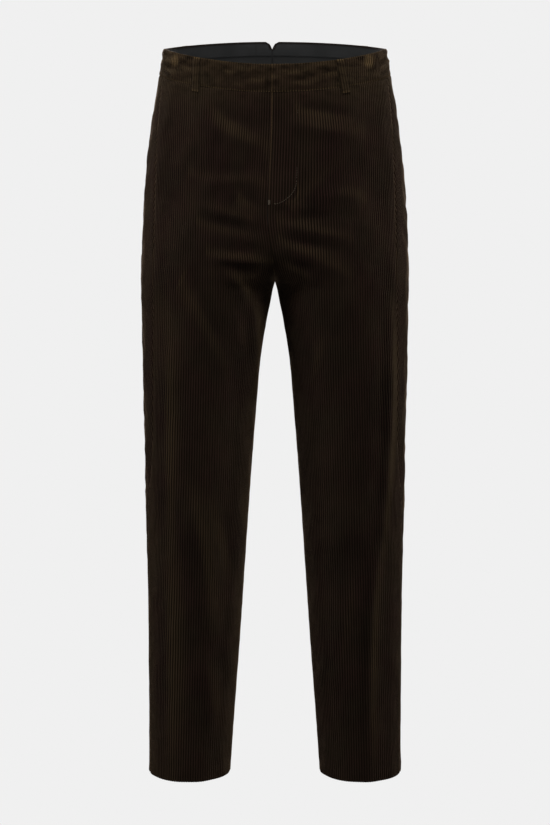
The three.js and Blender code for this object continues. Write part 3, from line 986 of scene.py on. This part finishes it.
@dataclass
class WaistStrip:
    """A strip of cloth that follows the waist from the fly round to the centre back."""

    side: Side
    strip: Strip
    cloth: Sequence[bpy.types.Material]
    drops: tuple[float, ...]
    outs: tuple[float, ...]
    wall: float
    samples: int = 420
    inset: float = 0.0
    step: float = 1.1
    grain: float = 96.0
    edge_round: float = 0.7
    edge_reach: float = 1.3
    inner_round: float = 0.6
    least_wall: float = 0.5
    # The lining's seams, which look dark, and the curtain, which sags in waves.
    seam_line: float = 0.9
    join: float = 24.0
    join_shade: float = 0.6
    sag: float = 0.0
    sag_waves: Spot = (11.0, 29.0)
    # The band's ribs, its painted light and shade, and its wear, whose pale rims are partly painted
    # highlights.
    rib_middle: float = 0.3
    rib_crush: float = 0.4
    slope_light_up: float = 2.0
    rim_wear_and_highlight: float = 0.5
    top_rim: float = 0.9
    low_rim: float = 1.2
    low_rim_wear_and_highlight: float = 1.3
    closing_wear_and_highlight: float = 0.8
    closing_width: float = 0.9
    shadow: float = 2.0
    shadow_width: float = 2.2
    crushed: tuple[Crush, ...] = (Crush(-136.5, 5.5, 8.5, 7.5), Crush(127.5, 6.5, 8.0, 8.5))
    crush_wear: float = 1.5
    crush_depth: float = 0.2
    crumpled: tuple[Crumple, ...] = (
        Crumple(1.5, -9.0, 0.45, 2.6, -2.1), Crumple(7.5, -8.0, -0.5, 2.6, 1.7),
        Crumple(12.5, -10.0, 0.1, 2.4, -1.6))
    crumple_rise: float = 7.0

    @property
    def node(self) -> str:
        """The strip's name in the frame."""
        return f"{self.strip.value}_{self.side.word}"

    def layout(self) -> Layout:
        """Lays the strip's columns along every row.

        Returns:
            The strip's corners.
        """
        rows, grain = [], []
        for drop in self.drops:
            start, end = 0.5 * math.pi, 1.5 * math.pi
            notch = NOTCH.at(drop - self.inset) + (self.inset if drop < NOTCH.depth + self.inset else 0.0)
            under = FLY.underlap if self.strip is Strip.BAND and self.side is Side.RIGHT else 0.0
            for _ in range(ROW_ROUNDS):
                low = BODY.band_top(np.array([start])) - drop
                start = float(BODY.turn_at(low, -under, Half.FRONT)[0])
                high = BODY.band_top(np.array([end])) - drop
                end = float(BODY.turn_at(high, notch, Half.BACK)[0])
            turn = np.linspace(start, end, self.samples)
            rows.append((turn, BODY.band_top(turn) - drop))
            level = np.array([BODY.waist_top - drop])
            grain.append(float(BODY.turn_at(level, self.grain, Half.FRONT)[0]))
        return lay_columns(rows, grain, self.step)

    def details(self, x: np.ndarray, z: np.ndarray) -> tuple[np.ndarray, np.ndarray]:
        """Small marks of wear on the front of the band: a crumple by the fly and two crushed patches.

        Args:
            x: Places across the front view.
            z: Heights.

        Returns:
            The change in height, and how crushed the pile is.
        """
        crush = np.zeros_like(x)
        for mark in self.crushed:
            patch = ((x - mark.x) / mark.half_x) ** 2 + ((z - mark.z) / mark.half_z) ** 2
            crush = np.maximum(crush, self.crush_wear * bell(patch, 1.0))
        height = -self.crush_depth * crush
        for mark in self.crumpled:
            along = bell(z - mark.z, self.crumple_rise)
            height = height + mark.height * along * bell(x - mark.x - mark.lean * (z - mark.z), mark.width)
        return height, crush

    def pile(self, laid: Layout, x: np.ndarray, from_top: np.ndarray,
             from_low: np.ndarray) -> tuple[np.ndarray, np.ndarray, np.ndarray]:
        """The ribs, creases, wear and painted light of the band.

        Args:
            laid: The band's corners.
            x: Distances from the middle plane.
            from_top: Distances from the upper edge.
            from_low: Distances from the lower edge.

        Returns:
            For each corner, the relief, how crushed or pale the pile is, with rims that are partly painted
            highlights, and its painted light and shade.
        """
        front = laid.turn < math.pi
        marks, crush = (front * part for part in self.details(self.side.value * x, laid.z))
        ribs = (WALES.at(laid.across) - WALES.height) * (1 - self.rib_crush * np.minimum(crush, 1))
        wave = CREASES.at(self.side.value * laid.across, from_top)
        wave = wave * np.sin(math.pi * from_top / BODY.band_height)
        # Pale rims along the band's top and bottom and the lap's edge: partly wear, partly painted
        # highlights.
        rim = bell(from_top, self.top_rim) + self.low_rim_wear_and_highlight * bell(from_low, self.low_rim)
        closing = (self.side is Side.LEFT) * (laid.turn < 0.75 * math.pi)
        rim = rim + self.closing_wear_and_highlight * closing * bell(laid.edge, self.closing_width)
        beside = self.side.value * x - BODY.front_seam.at(laid.z) + self.shadow_width
        shadow = (self.side is Side.RIGHT) * front * bell(beside, self.shadow_width)
        # Painted highlights and shade on the creases by which way they face, and a painted shadow beside the
        # fly's lap.
        painted_light = self.slope_light_up * np.gradient(wave, axis=0) / np.gradient(from_top, axis=0) - self.shadow * shadow
        relief = ribs + marks + self.rib_middle + wave
        return relief, np.maximum(crush, self.rim_wear_and_highlight * rim), np.clip(painted_light, -1, 1)

    def seams(self, turn: np.ndarray, x: np.ndarray, near: np.ndarray) -> np.ndarray:
        """The dark lines where the lining is sewn.

        Args:
            turn: Turns round the section.
            x: Distances from the middle plane.
            near: Distances from the nearest edge.

        Returns:
            How dark each corner is.
        """
        line = bell(near, self.seam_line)
        if self.strip is Strip.CURTAIN or self.side is Side.LEFT:
            return line
        return np.maximum(line, self.join_shade * bell(x - self.join, self.seam_line) * (turn > math.pi))

    def build(self) -> bpy.types.Object:
        """Makes the strip and declares its cloth.

        Returns:
            The strip's object.
        """
        laid = self.layout()
        turn, z = laid.turn, laid.z
        x = BODY.point(turn, z)[..., 0]
        drop = np.array(self.drops)[:, None] + np.zeros_like(z)
        from_top, from_low = drop - self.drops[0], self.drops[-1] - drop
        near = np.minimum(np.minimum(from_top, from_low), laid.edge)
        rounding = self.edge_round * bell(near, self.edge_reach)
        out = np.array(self.outs)[:, None] + np.zeros_like(z)
        if self.strip is Strip.BAND:
            out = out + FLY.lap(self.side, turn, z, self.wall + FLY.room)
            relief, crush, painted_light = self.pile(laid, x, from_top, from_low)
        else:
            relief, crush, painted_light = np.zeros_like(z), self.seams(turn, x, near), np.zeros_like(z)
        outer_out = out - rounding + relief
        inner_out = np.minimum(out - self.wall + rounding * self.inner_round, outer_out - self.least_wall)
        if self.sag:
            waves = sum(np.sin(laid.across / length) + 1 for length in self.sag_waves) / 4
            outer_out = outer_out - self.sag * waves * from_top / (self.drops[-1] - self.drops[0])
            inner_out = outer_out - self.wall
        corner = NOTCH.corner(np.where(turn > 1.25 * math.pi, x, np.inf), drop)
        outer = surface(self.side, turn, z - corner, outer_out, False)
        inner = surface(self.side, turn, z - corner, inner_out, False)
        cut = np.stack([laid.across, z, crush], -1)
        piece = Slab(f"{self.node}_cloth").build(outer, inner, cut, painted_light, self.cloth)
        rises = np.diff(np.array(self.drops))
        declare(piece, self.node, laid.area(rises))
        return piece


@dataclass(frozen=True)
class LoopPlace:
    """Where a belt loop is sewn."""

    word: str
    side: Side
    x: float
    half: Half
    slant: float = 0.0
    width: float = 12.0


LOOPS = (
    LoopPlace("front", Side.RIGHT, 104.5, Half.FRONT, -3.0, 11.5),
    LoopPlace("front", Side.LEFT, 87, Half.FRONT, 4.0, 12.5),
    LoopPlace("side", Side.RIGHT, 126, Half.BACK),
    LoopPlace("side", Side.LEFT, 126, Half.BACK),
    LoopPlace("back", Side.RIGHT, 46, Half.BACK),
    LoopPlace("back", Side.LEFT, 46, Half.BACK),
)


@dataclass
class BeltLoop:
    """A narrow folded strip of corduroy, sewn to the waistband at its top and just below its lower seam."""

    place: LoopPlace
    cloth: Sequence[bpy.types.Material]
    wall: float = 1.7
    rows: int = 72
    columns: int = 28
    band_proud: float = 0.5
    edge_reach: float = 1.3
    edge_round: float = 0.75
    end_nearness: float = 0.8
    inner_round: float = 0.5
    rib_share: float = 0.8
    rib_middle: float = 0.4
    tack_depth: float = 0.45
    tack_inset: float = 3.4
    tack_width: float = 1.0
    # Pale ends: wear, and a painted highlight where the loop folds over at its top.
    top_wear_and_highlight: Spot = (1.2, 2.2)
    low_wear: Spot = (0.8, 2.0)
    # Painted light on the loop: a painted highlight down its middle and painted shade along its long edges.
    middle_highlight: float = 0.25
    rim_shade: float = -1.25
    clear: Profile = Profile(
        (0.2, 3.2, 8, 15, 24, 33, 38.5, 41, 45.4), (0.5, 0.5, 3.4, 4.2, 4.3, 3.6, 1.8, 0.4, 0.4))

    @property
    def node(self) -> str:
        """The loop's name in the frame."""
        return f"belt_loop_{self.place.word}_{self.place.side.word}"

    def build(self) -> bpy.types.Object:
        """Makes the loop and declares its cloth.

        Returns:
            The loop's object.
        """
        width, low, high = self.place.width, self.clear.z[0], self.clear.z[-1]
        share, across = np.meshgrid(
            np.linspace(0, 1, self.rows + 1), np.linspace(-0.5, 0.5, self.columns + 1), indexing="ij")
        drop, across = mix(low, high, share), across * width
        from_top, from_low, from_side = drop - low, high - drop, width / 2 - np.abs(across)
        back = self.place.half is Half.BACK
        level = np.array([BODY.waist_top + (BODY.back_rise if back else -BODY.front_dip) / 2])
        middle = BODY.turn_at(level, np.array([self.place.x]), self.place.half)
        lean = (-1.0 if back else 1.0) * self.place.slant * share
        turn = middle + BODY.turn_for(1.0, middle, level) * (across + lean)
        z = BODY.band_top(turn) - drop
        edge = np.minimum(from_side, np.minimum(from_top, from_low) * self.end_nearness)
        rounding = self.edge_round * bell(edge, self.edge_reach)
        clear = self.clear.at(drop) + self.band_proud
        ribs = WALES.at(across + WALES.pitch / 2) - WALES.height
        tacks = sum(bell(gap - self.tack_inset, self.tack_width) for gap in (from_top, from_low))
        top = clear + self.wall + ribs * self.rib_share + self.rib_middle - rounding - self.tack_depth * tacks
        outer = surface(self.place.side, turn, z, top, False)
        inner = surface(self.place.side, turn, z, clear + rounding * self.inner_round, False)
        # Pale ends from wear, with a painted highlight on the folded top.
        wear_and_highlight = sum(wear * bell(gap, reach) for gap, (wear, reach) in (
            (from_top, self.top_wear_and_highlight), (from_low, self.low_wear)))
        cut = np.stack([across + WALES.pitch / 2, z, wear_and_highlight], -1)
        # A painted highlight down the loop's middle, painted shade along its long edges.
        painted_light = self.middle_highlight + self.rim_shade * bell(from_side, self.edge_reach)
        piece = Slab(f"{self.node}_cloth").build(outer, inner, cut, painted_light, self.cloth)
        declare(piece, self.node, width * (high - low),
                [f"waistband_{self.place.side.word}"])
        return piece


@dataclass
class Stitching:
    """Rows of short stitches that lie on the cloth."""

    thread: bpy.types.Material
    length: float = 2.5
    width: float = 0.8
    space: float = 3.2
    straight: tuple[Spot, ...] = ((30, -37), (30, -84), (29, -137), (28.3, -150))
    straight_lift: float = -1.05
    curve: tuple[Spot, ...] = (
        (28.2, -151), (27.6, -157), (25.5, -163), (22, -168.5), (17, -173.5), (12, -177.5), (7, -180.5),
        (3, -182), (-3, -182.4))
    curve_lift: float = 0.55
    tack: Spot = (-8.0, -180.0)
    tack_height: float = 6.0
    tack_reach: Spot = (-1.2, 1.6)
    tack_slant: float = 0.2
    tack_step: float = 0.55
    tack_lift: float = 0.35

    def spot(self, x: float, z: float, lift: float) -> tuple[Vector, Vector]:
        """Finds a place on the front and the way out of the cloth there.

        Args:
            x: Place across the front view.
            z: Height.
            lift: Distance out from the folded cloth.

        Returns:
            The place and the outward direction, in millimetres.
        """
        level = np.array([z])
        seam = float(BODY.front_seam.at(level)[0])
        side = Side.LEFT if x > seam else Side.RIGHT
        reach = abs(x - seam * (1 - float(ramp(np.array(abs(x)), 0.0, BODY.seam_reach))))
        turn = BODY.turn_at(level, np.array([reach]), Half.FRONT)
        raised = float(FLY.lap(side, turn, level, LegPanel.wall + FLY.room)[0]) + lift
        spots = [surface(side, turn, level, np.array([raised + step]), True)[0] for step in (0.0, 1.0)]
        return Vector(spots[0]), Vector(spots[1] - spots[0]).normalized()

    def row(self, mesh: bmesh.types.BMesh, path: Sequence[Spot], lift: float) -> None:
        """Adds one row of stitches.

        Args:
            mesh: The mesh to add to.
            path: The places that the row passes through, across and up the front.
            lift: Distance out from the folded cloth.
        """
        points = np.array(path, float)
        along = np.concatenate([[0], np.cumsum(np.hypot(*np.diff(points, axis=0).T))])
        for start in np.arange(0, along[-1] - self.length, self.space):
            ends = [(float(np.interp(at, along, points[:, 0])), float(np.interp(at, along, points[:, 1])))
                    for at in (start, start + self.length)]
            self.stitch(mesh, ends, lift)

    def stitch(self, mesh: bmesh.types.BMesh, ends: Sequence[Spot], lift: float) -> None:
        """Adds one stitch between two places.

        Args:
            mesh: The mesh to add to.
            ends: Where the thread goes into the cloth.
            lift: Distance out from the folded cloth.
        """
        (first, out), (last, _) = (self.spot(x, z, lift) for x, z in ends)
        run = last - first
        across = out.cross(run).normalized()
        turn = Matrix((run.normalized(), across, run.cross(across).normalized())).transposed().to_4x4()
        size = Matrix.Diagonal((run.length / 2, self.width / 2, self.width / 2, 1.0))
        place = Matrix.Translation((first + last) / 2 * MM) @ Matrix.Scale(MM, 4) @ turn @ size
        bmesh.ops.create_icosphere(mesh, subdivisions=2, radius=1.0, matrix=place)

    def build(self) -> bpy.types.Object:
        """Makes the fly's curved row and the bar tack at its foot.

        Returns:
            The stitches as one object.
        """
        mesh = bmesh.new()
        self.row(mesh, self.straight, self.straight_lift)
        self.row(mesh, self.curve, self.curve_lift)
        x, z = self.tack
        for step in np.arange(0, self.tack_height, self.tack_step):
            low = z - self.tack_height / 2 + step
            ends = [(x + self.tack_reach[0], low), (x + self.tack_reach[1], low + self.tack_slant)]
            self.stitch(mesh, ends, self.tack_lift)
        for face in mesh.faces:
            face.smooth = True
        data = bpy.data.meshes.new("fly_stitching")
        mesh.to_mesh(data)
        mesh.free()
        data.materials.append(self.thread)
        piece = stand("fly_stitching", data)
        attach(piece, "root")
        log.info("%s: %d faces", piece.name, len(piece.data.polygons))
        return piece


class Grain(NamedTuple):
    """How fine a noise on the cut cloth is, across and along, and how many finer layers it has."""

    across: float
    along: float
    layers: float


class Nodes:
    """A material's node tree, with short ways to add and join nodes."""

    def __init__(self, name: str) -> None:
        """Starts an empty material.

        Args:
            name: The material's name.
        """
        self.material = bpy.data.materials.new(name)
        self.material.use_nodes = True
        self.tree = self.material.node_tree
        self.tree.nodes.clear()

    def add(self, kind: str, **settings: object) -> bpy.types.Node:
        """Adds a node.

        Args:
            kind: The node's type.
            settings: Its options by name.

        Returns:
            The node.
        """
        node = self.tree.nodes.new(kind)
        for name, value in settings.items():
            setattr(node, name, value)
        return node

    def link(self, source: bpy.types.NodeSocket, target: bpy.types.NodeSocket) -> None:
        """Joins two sockets."""
        self.tree.links.new(source, target)

    def math(self, operation: str, first: object, second: object = None, clamp: bool = False,
             ) -> bpy.types.NodeSocket:
        """Adds a sum of one or two terms.

        Args:
            operation: The kind of sum.
            first: A socket or a number.
            second: A socket, a number, or nothing.
            clamp: Whether the result is kept within 0 and 1.

        Returns:
            The result's socket.
        """
        node = self.add("ShaderNodeMath", operation=operation, use_clamp=clamp)
        for socket, value in zip(node.inputs, (first, second)):
            if isinstance(value, bpy.types.NodeSocket):
                self.link(value, socket)
            elif value is not None:
                socket.default_value = value
        return node.outputs[0]

    def times(self, first: object, second: object, clamp: bool = False) -> bpy.types.NodeSocket:
        """Multiplies two sockets or numbers."""
        return self.math("MULTIPLY", first, second, clamp)

    def blend(self, share: object, first: object, second: object, kind: str = "MIX") -> bpy.types.NodeSocket:
        """Mixes two colours.

        Args:
            share: How much of the second colour there is.
            first: A socket or a colour.
            second: A socket or a colour.
            kind: How they are mixed.

        Returns:
            The mixed colour's socket.
        """
        node = self.add("ShaderNodeMix", data_type="RGBA", blend_type=kind)
        for socket, value in zip((node.inputs[0], node.inputs[6], node.inputs[7]), (share, first, second)):
            if isinstance(value, bpy.types.NodeSocket):
                self.link(value, socket)
            else:
                socket.default_value = value if isinstance(value, float) else (*value, 1.0)
        return node.outputs[2]

    def noise(self, where: bpy.types.NodeSocket, grain: Grain) -> bpy.types.NodeSocket:
        """Adds soft noise.

        Args:
            where: The place on the cut cloth.
            grain: How fine it is.

        Returns:
            The noise's socket, from 0 to 1.
        """
        place = self.add("ShaderNodeMapping")
        place.inputs["Scale"].default_value = (grain.across, grain.along, 0.0)
        self.link(where, place.inputs["Vector"])
        node = self.add("ShaderNodeTexNoise")
        node.inputs["Scale"].default_value = 1.0
        node.inputs["Detail"].default_value = grain.layers
        self.link(place.outputs["Vector"], node.inputs["Vector"])
        return node.outputs["Fac"]

    def spread(self, value: bpy.types.NodeSocket, low: float, high: float) -> bpy.types.NodeSocket:
        """Stretches a value.

        Args:
            value: The value's socket.
            low: What becomes 0.
            high: What becomes 1.

        Returns:
            The stretched value's socket.
        """
        node = self.add("ShaderNodeMapRange")
        node.inputs["From Min"].default_value = low
        node.inputs["From Max"].default_value = high
        self.link(value, node.inputs["Value"])
        return node.outputs["Result"]

    def cut_cloth(self) -> tuple[bpy.types.NodeSocket, list[bpy.types.NodeSocket]]:
        """Reads the place on the cut cloth.

        Returns:
            Its socket, and those of its parts: across, along, and how pale the cloth is from crushing, wear
                and painted highlights, or how dark its seams are.
        """
        cut = self.add("ShaderNodeAttribute", attribute_name="cut").outputs["Vector"]
        parts = self.add("ShaderNodeSeparateXYZ")
        self.link(cut, parts.inputs[0])
        return cut, list(parts.outputs)


@dataclass(frozen=True)
class Finish:
    """The look of a plain thread or cloth, which the patterned cloths build on."""

    name: str
    colour: Triple
    sheen: float
    sheen_tint: Triple
    sheen_roughness: float = 0.4
    roughness: float = 0.92
    specular: float = 0.12
    fuzz: float = 0.35
    relief: float = 0.0

    def shader(self, nodes: Nodes, colour: object, height: object = None) -> bpy.types.Material:
        """Adds the surface shader and its fine relief.

        Args:
            nodes: The material's nodes.
            colour: A socket or a colour.
            height: A socket with the relief, or nothing.

        Returns:
            The finished material.
        """
        shader = nodes.add("ShaderNodeBsdfPrincipled")
        shader.inputs["Roughness"].default_value = self.roughness
        shader.inputs["Specular IOR Level"].default_value = self.specular
        shader.inputs["Sheen Weight"].default_value = self.sheen
        shader.inputs["Sheen Roughness"].default_value = self.sheen_roughness
        shader.inputs["Sheen Tint"].default_value = (*self.sheen_tint, 1.0)
        if isinstance(colour, bpy.types.NodeSocket):
            nodes.link(colour, shader.inputs["Base Color"])
        else:
            shader.inputs["Base Color"].default_value = (*colour, 1.0)
        if height is not None:
            bump = nodes.add("ShaderNodeBump")
            bump.inputs["Strength"].default_value = self.fuzz
            bump.inputs["Distance"].default_value = self.relief
            nodes.link(height, bump.inputs["Height"])
            nodes.link(bump.outputs["Normal"], shader.inputs["Normal"])
        end = nodes.add("ShaderNodeOutputMaterial")
        nodes.link(shader.outputs[0], end.inputs["Surface"])
        return nodes.material

    def material(self) -> bpy.types.Material:
        """One colour, as on thread and on the wrong side of the cloth."""
        return self.shader(Nodes(self.name), self.colour)


@dataclass(frozen=True)
class Pile(Finish):
    """Ribbed pile: painted shade in its grooves, patchy pile, painted light and shade, and pale places from
    crushing and wear that are partly painted highlights.
    """

    # Painted shade in the grooves between the ribs.
    groove_shade: Triple = (0.0004, 0.0002, 0.0002)
    # A pale golden colour for pale patches and for painted highlights.
    wear_and_highlight: Triple = (0.048, 0.0325, 0.0158)
    # Paler still, for crushed pile and for the pale edges that are partly painted highlights.
    crushed: Triple = (0.1248, 0.08125, 0.03634)
    rib_power: float = 3.0
    patches: Grain = Grain(0.013, 0.011, 4.0)
    streaks: Grain = Grain(0.55, 0.02, 2.0)
    tufts: Grain = Grain(1.6, 0.7, 3.0)
    patch_share: float = 1.3
    streak_share: float = 0.45
    tuft_share: float = 0.55
    shade_range: Spot = (0.75, 1.55)
    dark: Triple = (0.62, 0.52, 0.56)
    pale_share: float = 0.16
    tones: Grain = Grain(0.021, 0.017, 3.0)
    tone_range: Spot = (0.36, 0.62)
    redder: Triple = (1.12, 0.93, 1.0)
    greener: Triple = (0.92, 1.04, 0.9)
    # How strongly the painted light brightens the rib tops and the painted shade darkens the cloth.
    painted_highlight_share: float = 1.1
    painted_shade_share: float = -0.45
    # Painted light: the cloth turns paler towards the top of the band.
    waist: Spot = (-60.0, 10.0)
    waist_light: float = 0.3
    mottles: Grain = Grain(0.05, 0.12, 3.0)
    mottle_range: Spot = (0.54, 0.36)
    mottle_share: float = 0.75
    crush_range: Spot = (0.3, 0.6)
    streak_relief: float = 0.5
    relief: float = 0.0006

    def material(self) -> bpy.types.Material:
        """Makes the pile.

        Returns:
            The material.
        """
        nodes = Nodes(self.name)
        cut, (across, along, crush) = nodes.cut_cloth()
        wave = nodes.math("ABSOLUTE", nodes.math("SINE", nodes.times(across, math.pi / WALES.pitch)))
        rib = nodes.math("POWER", wave, self.rib_power)
        patches, streaks, tufts = (
            nodes.noise(cut, grain) for grain in (self.patches, self.streaks, self.tufts))
        shade = nodes.times(patches, self.patch_share)
        for noise, share in ((streaks, self.streak_share), (tufts, self.tuft_share)):
            shade = nodes.math("ADD", shade, nodes.times(noise, share))
        shade = nodes.spread(shade, *self.shade_range)
        tone = nodes.spread(nodes.noise(cut, self.tones), *self.tone_range)
        tint = nodes.blend(tone, self.redder, self.greener)
        # Painted shade in the grooves, fading out towards the rib tops.
        ribs = nodes.blend(1.0, nodes.blend(rib, self.groove_shade, self.colour), tint, "MULTIPLY")
        dark = nodes.blend(1.0, ribs, self.dark, "MULTIPLY")
        colour = nodes.blend(shade, dark, nodes.blend(self.pale_share, ribs, self.wear_and_highlight))
        # Painted highlights on the rib tops and painted shade, as the pieces give them.
        lean = nodes.add("ShaderNodeAttribute", attribute_name="painted_light").outputs["Fac"]
        colour = nodes.blend(nodes.times(nodes.times(lean, rib), self.painted_highlight_share, True), colour, self.wear_and_highlight)
        colour = nodes.blend(nodes.times(lean, self.painted_shade_share, True), colour, BLACK)
        # Painted light, paler towards the top of the band.
        waist = nodes.spread(along, *self.waist)
        colour = nodes.blend(nodes.times(waist, self.waist_light), colour, self.wear_and_highlight)
        mottle = nodes.times(nodes.spread(nodes.noise(cut, self.mottles), *self.mottle_range), waist)
        colour = nodes.blend(nodes.times(mottle, self.mottle_share, True), colour, BLACK)
        # Paler rib tops where the pile is crushed, and pale edges from wear and painted highlights.
        pale = nodes.times(nodes.times(crush, rib), nodes.spread(tufts, *self.crush_range), True)
        colour = nodes.blend(pale, colour, self.crushed)
        return self.shader(nodes, colour, nodes.math("ADD", tufts, nodes.times(streaks, self.streak_relief)))


@dataclass(frozen=True)
class Twill(Finish):
    """Flat twill: fine slanting lines, with a little unevenness, a darker lower part and dark seams."""

    patch: Triple = (0.0205, 0.0209, 0.0211)
    lower: Triple = (0.0182, 0.0174, 0.0164)
    slant: Spot = (5.5, 4.5)
    patches: Grain = Grain(0.03, 0.05, 3.0)
    patch_range: Spot = (0.25, 0.75)
    lower_range: Spot = (12.0, 8.0)
    lower_share: float = 0.45
    seam_shade: float = 0.5
    relief: float = 0.0004

    def material(self) -> bpy.types.Material:
        """Makes the twill.

        Returns:
            The material.
        """
        nodes = Nodes(self.name)
        cut, (across, along, seam) = nodes.cut_cloth()
        slant = nodes.math("ADD", nodes.times(across, self.slant[0]), nodes.times(along, self.slant[1]))
        patches = nodes.spread(nodes.noise(cut, self.patches), *self.patch_range)
        colour = nodes.blend(patches, self.patch, self.colour)
        lower = nodes.spread(along, *self.lower_range)
        colour = nodes.blend(nodes.times(lower, self.lower_share), colour, self.lower)
        colour = nodes.blend(nodes.times(seam, self.seam_shade), colour, BLACK)
        return self.shader(nodes, colour, nodes.math("ABSOLUTE", nodes.math("SINE", slant)))


PILE = Pile("corduroy_pile", (0.0218, 0.0127, 0.0102), 0.26, (0.62, 0.44, 0.29), specular=0.03)
WRONG_SIDE = Finish("corduroy_inside", (0.009, 0.006, 0.0045), 0.1, (0.6, 0.45, 0.3))
TWILL = Twill("lining_twill", (0.0315, 0.032, 0.0324), 0.08, (0.7, 0.7, 0.72), fuzz=0.25)
THREAD = Finish("thread", (0.055, 0.040, 0.026), 0.15, (0.6, 0.45, 0.3), roughness=0.6, specular=0.3)


class Lamp(NamedTuple):
    """A square soft light: its place in metres, its power in watts and its width in metres."""

    name: str
    place: Triple
    power: float
    width: float


@dataclass
class Studio:
    """A pale floor, a pale surround, soft light and the photograph's camera."""

    backdrop: float = 0.871
    ambient: float = 0.21
    ambient_tint: Triple = (1.0, 0.985, 0.96)
    floor_light: float = 0.09
    floor_drop: float = -1.25
    floor_reach: float = 14.0
    lens: float = 102.63
    eye: Triple = (0.0, -3.3, 0.047)
    tilt: float = 9.2
    aim: Triple = (0.0, 0.0, -0.45)
    lamps: tuple[Lamp, ...] = (
        Lamp("key", (0.15, -1.8, 2.05), 55.5, 0.7),
        Lamp("left", (-2.4, -0.8, 0.5), 21.5, 1.2),
        Lamp("right", (2.4, -0.8, 0.5), 10.0, 1.2),
        Lamp("back_left", (-1.3, 2.2, 1.2), 95.0, 1.2),
        Lamp("back_right", (1.3, 2.2, 1.2), 95.0, 1.2),
        Lamp("low", (0.3, -2.4, -0.75), 5.5, 1.2),
    )

    def surround(self) -> None:
        """Sets a pale world that the camera sees flat and that lights the garment more softly."""
        world = bpy.data.worlds.new("surround")
        world.use_nodes = True
        tree = world.node_tree
        tree.nodes.clear()
        path = tree.nodes.new("ShaderNodeLightPath")
        seen, light = (tree.nodes.new("ShaderNodeBackground") for _ in range(2))
        seen.inputs["Color"].default_value = (self.backdrop, self.backdrop, self.backdrop, 1.0)
        light.inputs["Color"].default_value = (*self.ambient_tint, 1.0)
        light.inputs["Strength"].default_value = self.ambient
        either = tree.nodes.new("ShaderNodeMixShader")
        end = tree.nodes.new("ShaderNodeOutputWorld")
        tree.links.new(path.outputs["Is Camera Ray"], either.inputs[0])
        tree.links.new(light.outputs[0], either.inputs[1])
        tree.links.new(seen.outputs[0], either.inputs[2])
        tree.links.new(either.outputs[0], end.inputs["Surface"])
        bpy.context.scene.world = world

    def floor(self) -> bpy.types.Object:
        """Makes the floor, as pale as the surround.

        Returns:
            The floor's object.
        """
        disc = bmesh.new()
        bmesh.ops.create_circle(disc, cap_ends=True, segments=96, radius=self.floor_reach)
        bmesh.ops.translate(disc, verts=disc.verts[:], vec=(0, 0, self.floor_drop))
        data = bpy.data.meshes.new("floor")
        disc.to_mesh(data)
        disc.free()
        nodes = Nodes("floor_paint")
        path = nodes.add("ShaderNodeLightPath")
        glow = nodes.add("ShaderNodeEmission")
        seen = nodes.blend(path.outputs["Is Camera Ray"], (self.floor_light,) * 3, (self.backdrop,) * 3)
        nodes.link(seen, glow.inputs["Color"])
        end = nodes.add("ShaderNodeOutputMaterial")
        nodes.link(glow.outputs[0], end.inputs["Surface"])
        data.materials.append(nodes.material)
        floor = stand("floor", data)
        return floor

    def light(self, lamp: Lamp) -> None:
        """Adds a soft light that faces the garment.

        Args:
            lamp: The light's place and strength.
        """
        light = bpy.data.lights.new(lamp.name, "AREA")
        light.energy = lamp.power
        light.size = lamp.width
        stood = stand(lamp.name, light)
        stood.location = lamp.place
        stood.rotation_euler = (Vector(self.aim) - Vector(lamp.place)).to_track_quat("-Z", "Y").to_euler()

    def camera(self) -> None:
        """Stands the camera where the photograph was taken."""
        data = bpy.data.cameras.new("camera")
        data.lens = self.lens
        camera = stand("camera", data)
        camera.location = self.eye
        camera.rotation_euler = (math.radians(90 - self.tilt), 0, 0)
        bpy.context.scene.camera = camera

    def build(self) -> None:
        """Sets up the whole studio."""
        bpy.context.scene.view_settings.view_transform = "Standard"
        self.surround()
        self.floor()
        for lamp in self.lamps:
            self.light(lamp)
        self.camera()


# Rows of the strips, below the top of the band, and how far out of the body the curtain's rows lie.
BAND_DROPS = (
    0.0, 0.5, 1.2, 2.2, 3.6, 5.4, 7.6, 10.5, 13.5, 17.0, 21.0, 25.0, 29.0, 32.0, 34.2, 35.6, 36.4, 37.0)
LINING_DROPS = (2.2, 2.8, 3.8, 6.0, 9.0, 12.7, 16.0, 18.2, 19.1, 19.7)
CURTAIN_DROPS = (20.0, 20.7, 21.8, 24.0, 28.0, 32.0, 35.0, 38.0, 41.0, 48.0, 55.0, 62.0)
CURTAIN_OUTS = (-2.3, -2.3, -2.3, -2.35, -2.5, -2.6, -2.7, -3.8, -5.0, -6.2, -7.1, -8.0)
BAND_OUT = 0.4
LINING_OUT = -2.1


def main() -> None:
    """Builds the trousers and the studio."""
    logging.basicConfig(level=logging.INFO, format="%(name)s: %(message)s")
    pile, wrong, twill = (finish.material() for finish in (PILE, WRONG_SIDE, TWILL))
    for side in Side:
        for half in Half:
            LegPanel(side, half, (pile, wrong)).build()
        WaistStrip(side, Strip.BAND, (pile, wrong), BAND_DROPS, (BAND_OUT,) * len(BAND_DROPS), 2.2,
                   step=WALES.step, edge_round=0.9, edge_reach=1.5).build()
        WaistStrip(side, Strip.LINING, (twill, twill), LINING_DROPS, (LINING_OUT,) * len(LINING_DROPS), 1.1,
                   inset=2.2).build()
        WaistStrip(side, Strip.CURTAIN, (twill, twill), CURTAIN_DROPS, CURTAIN_OUTS, 1.1, sag=1.0).build()
    for place in LOOPS:
        BeltLoop(place, (pile, wrong)).build()
    Stitching(THREAD.material()).build()
    Studio().build()


if __name__ == "__main__":
    main()
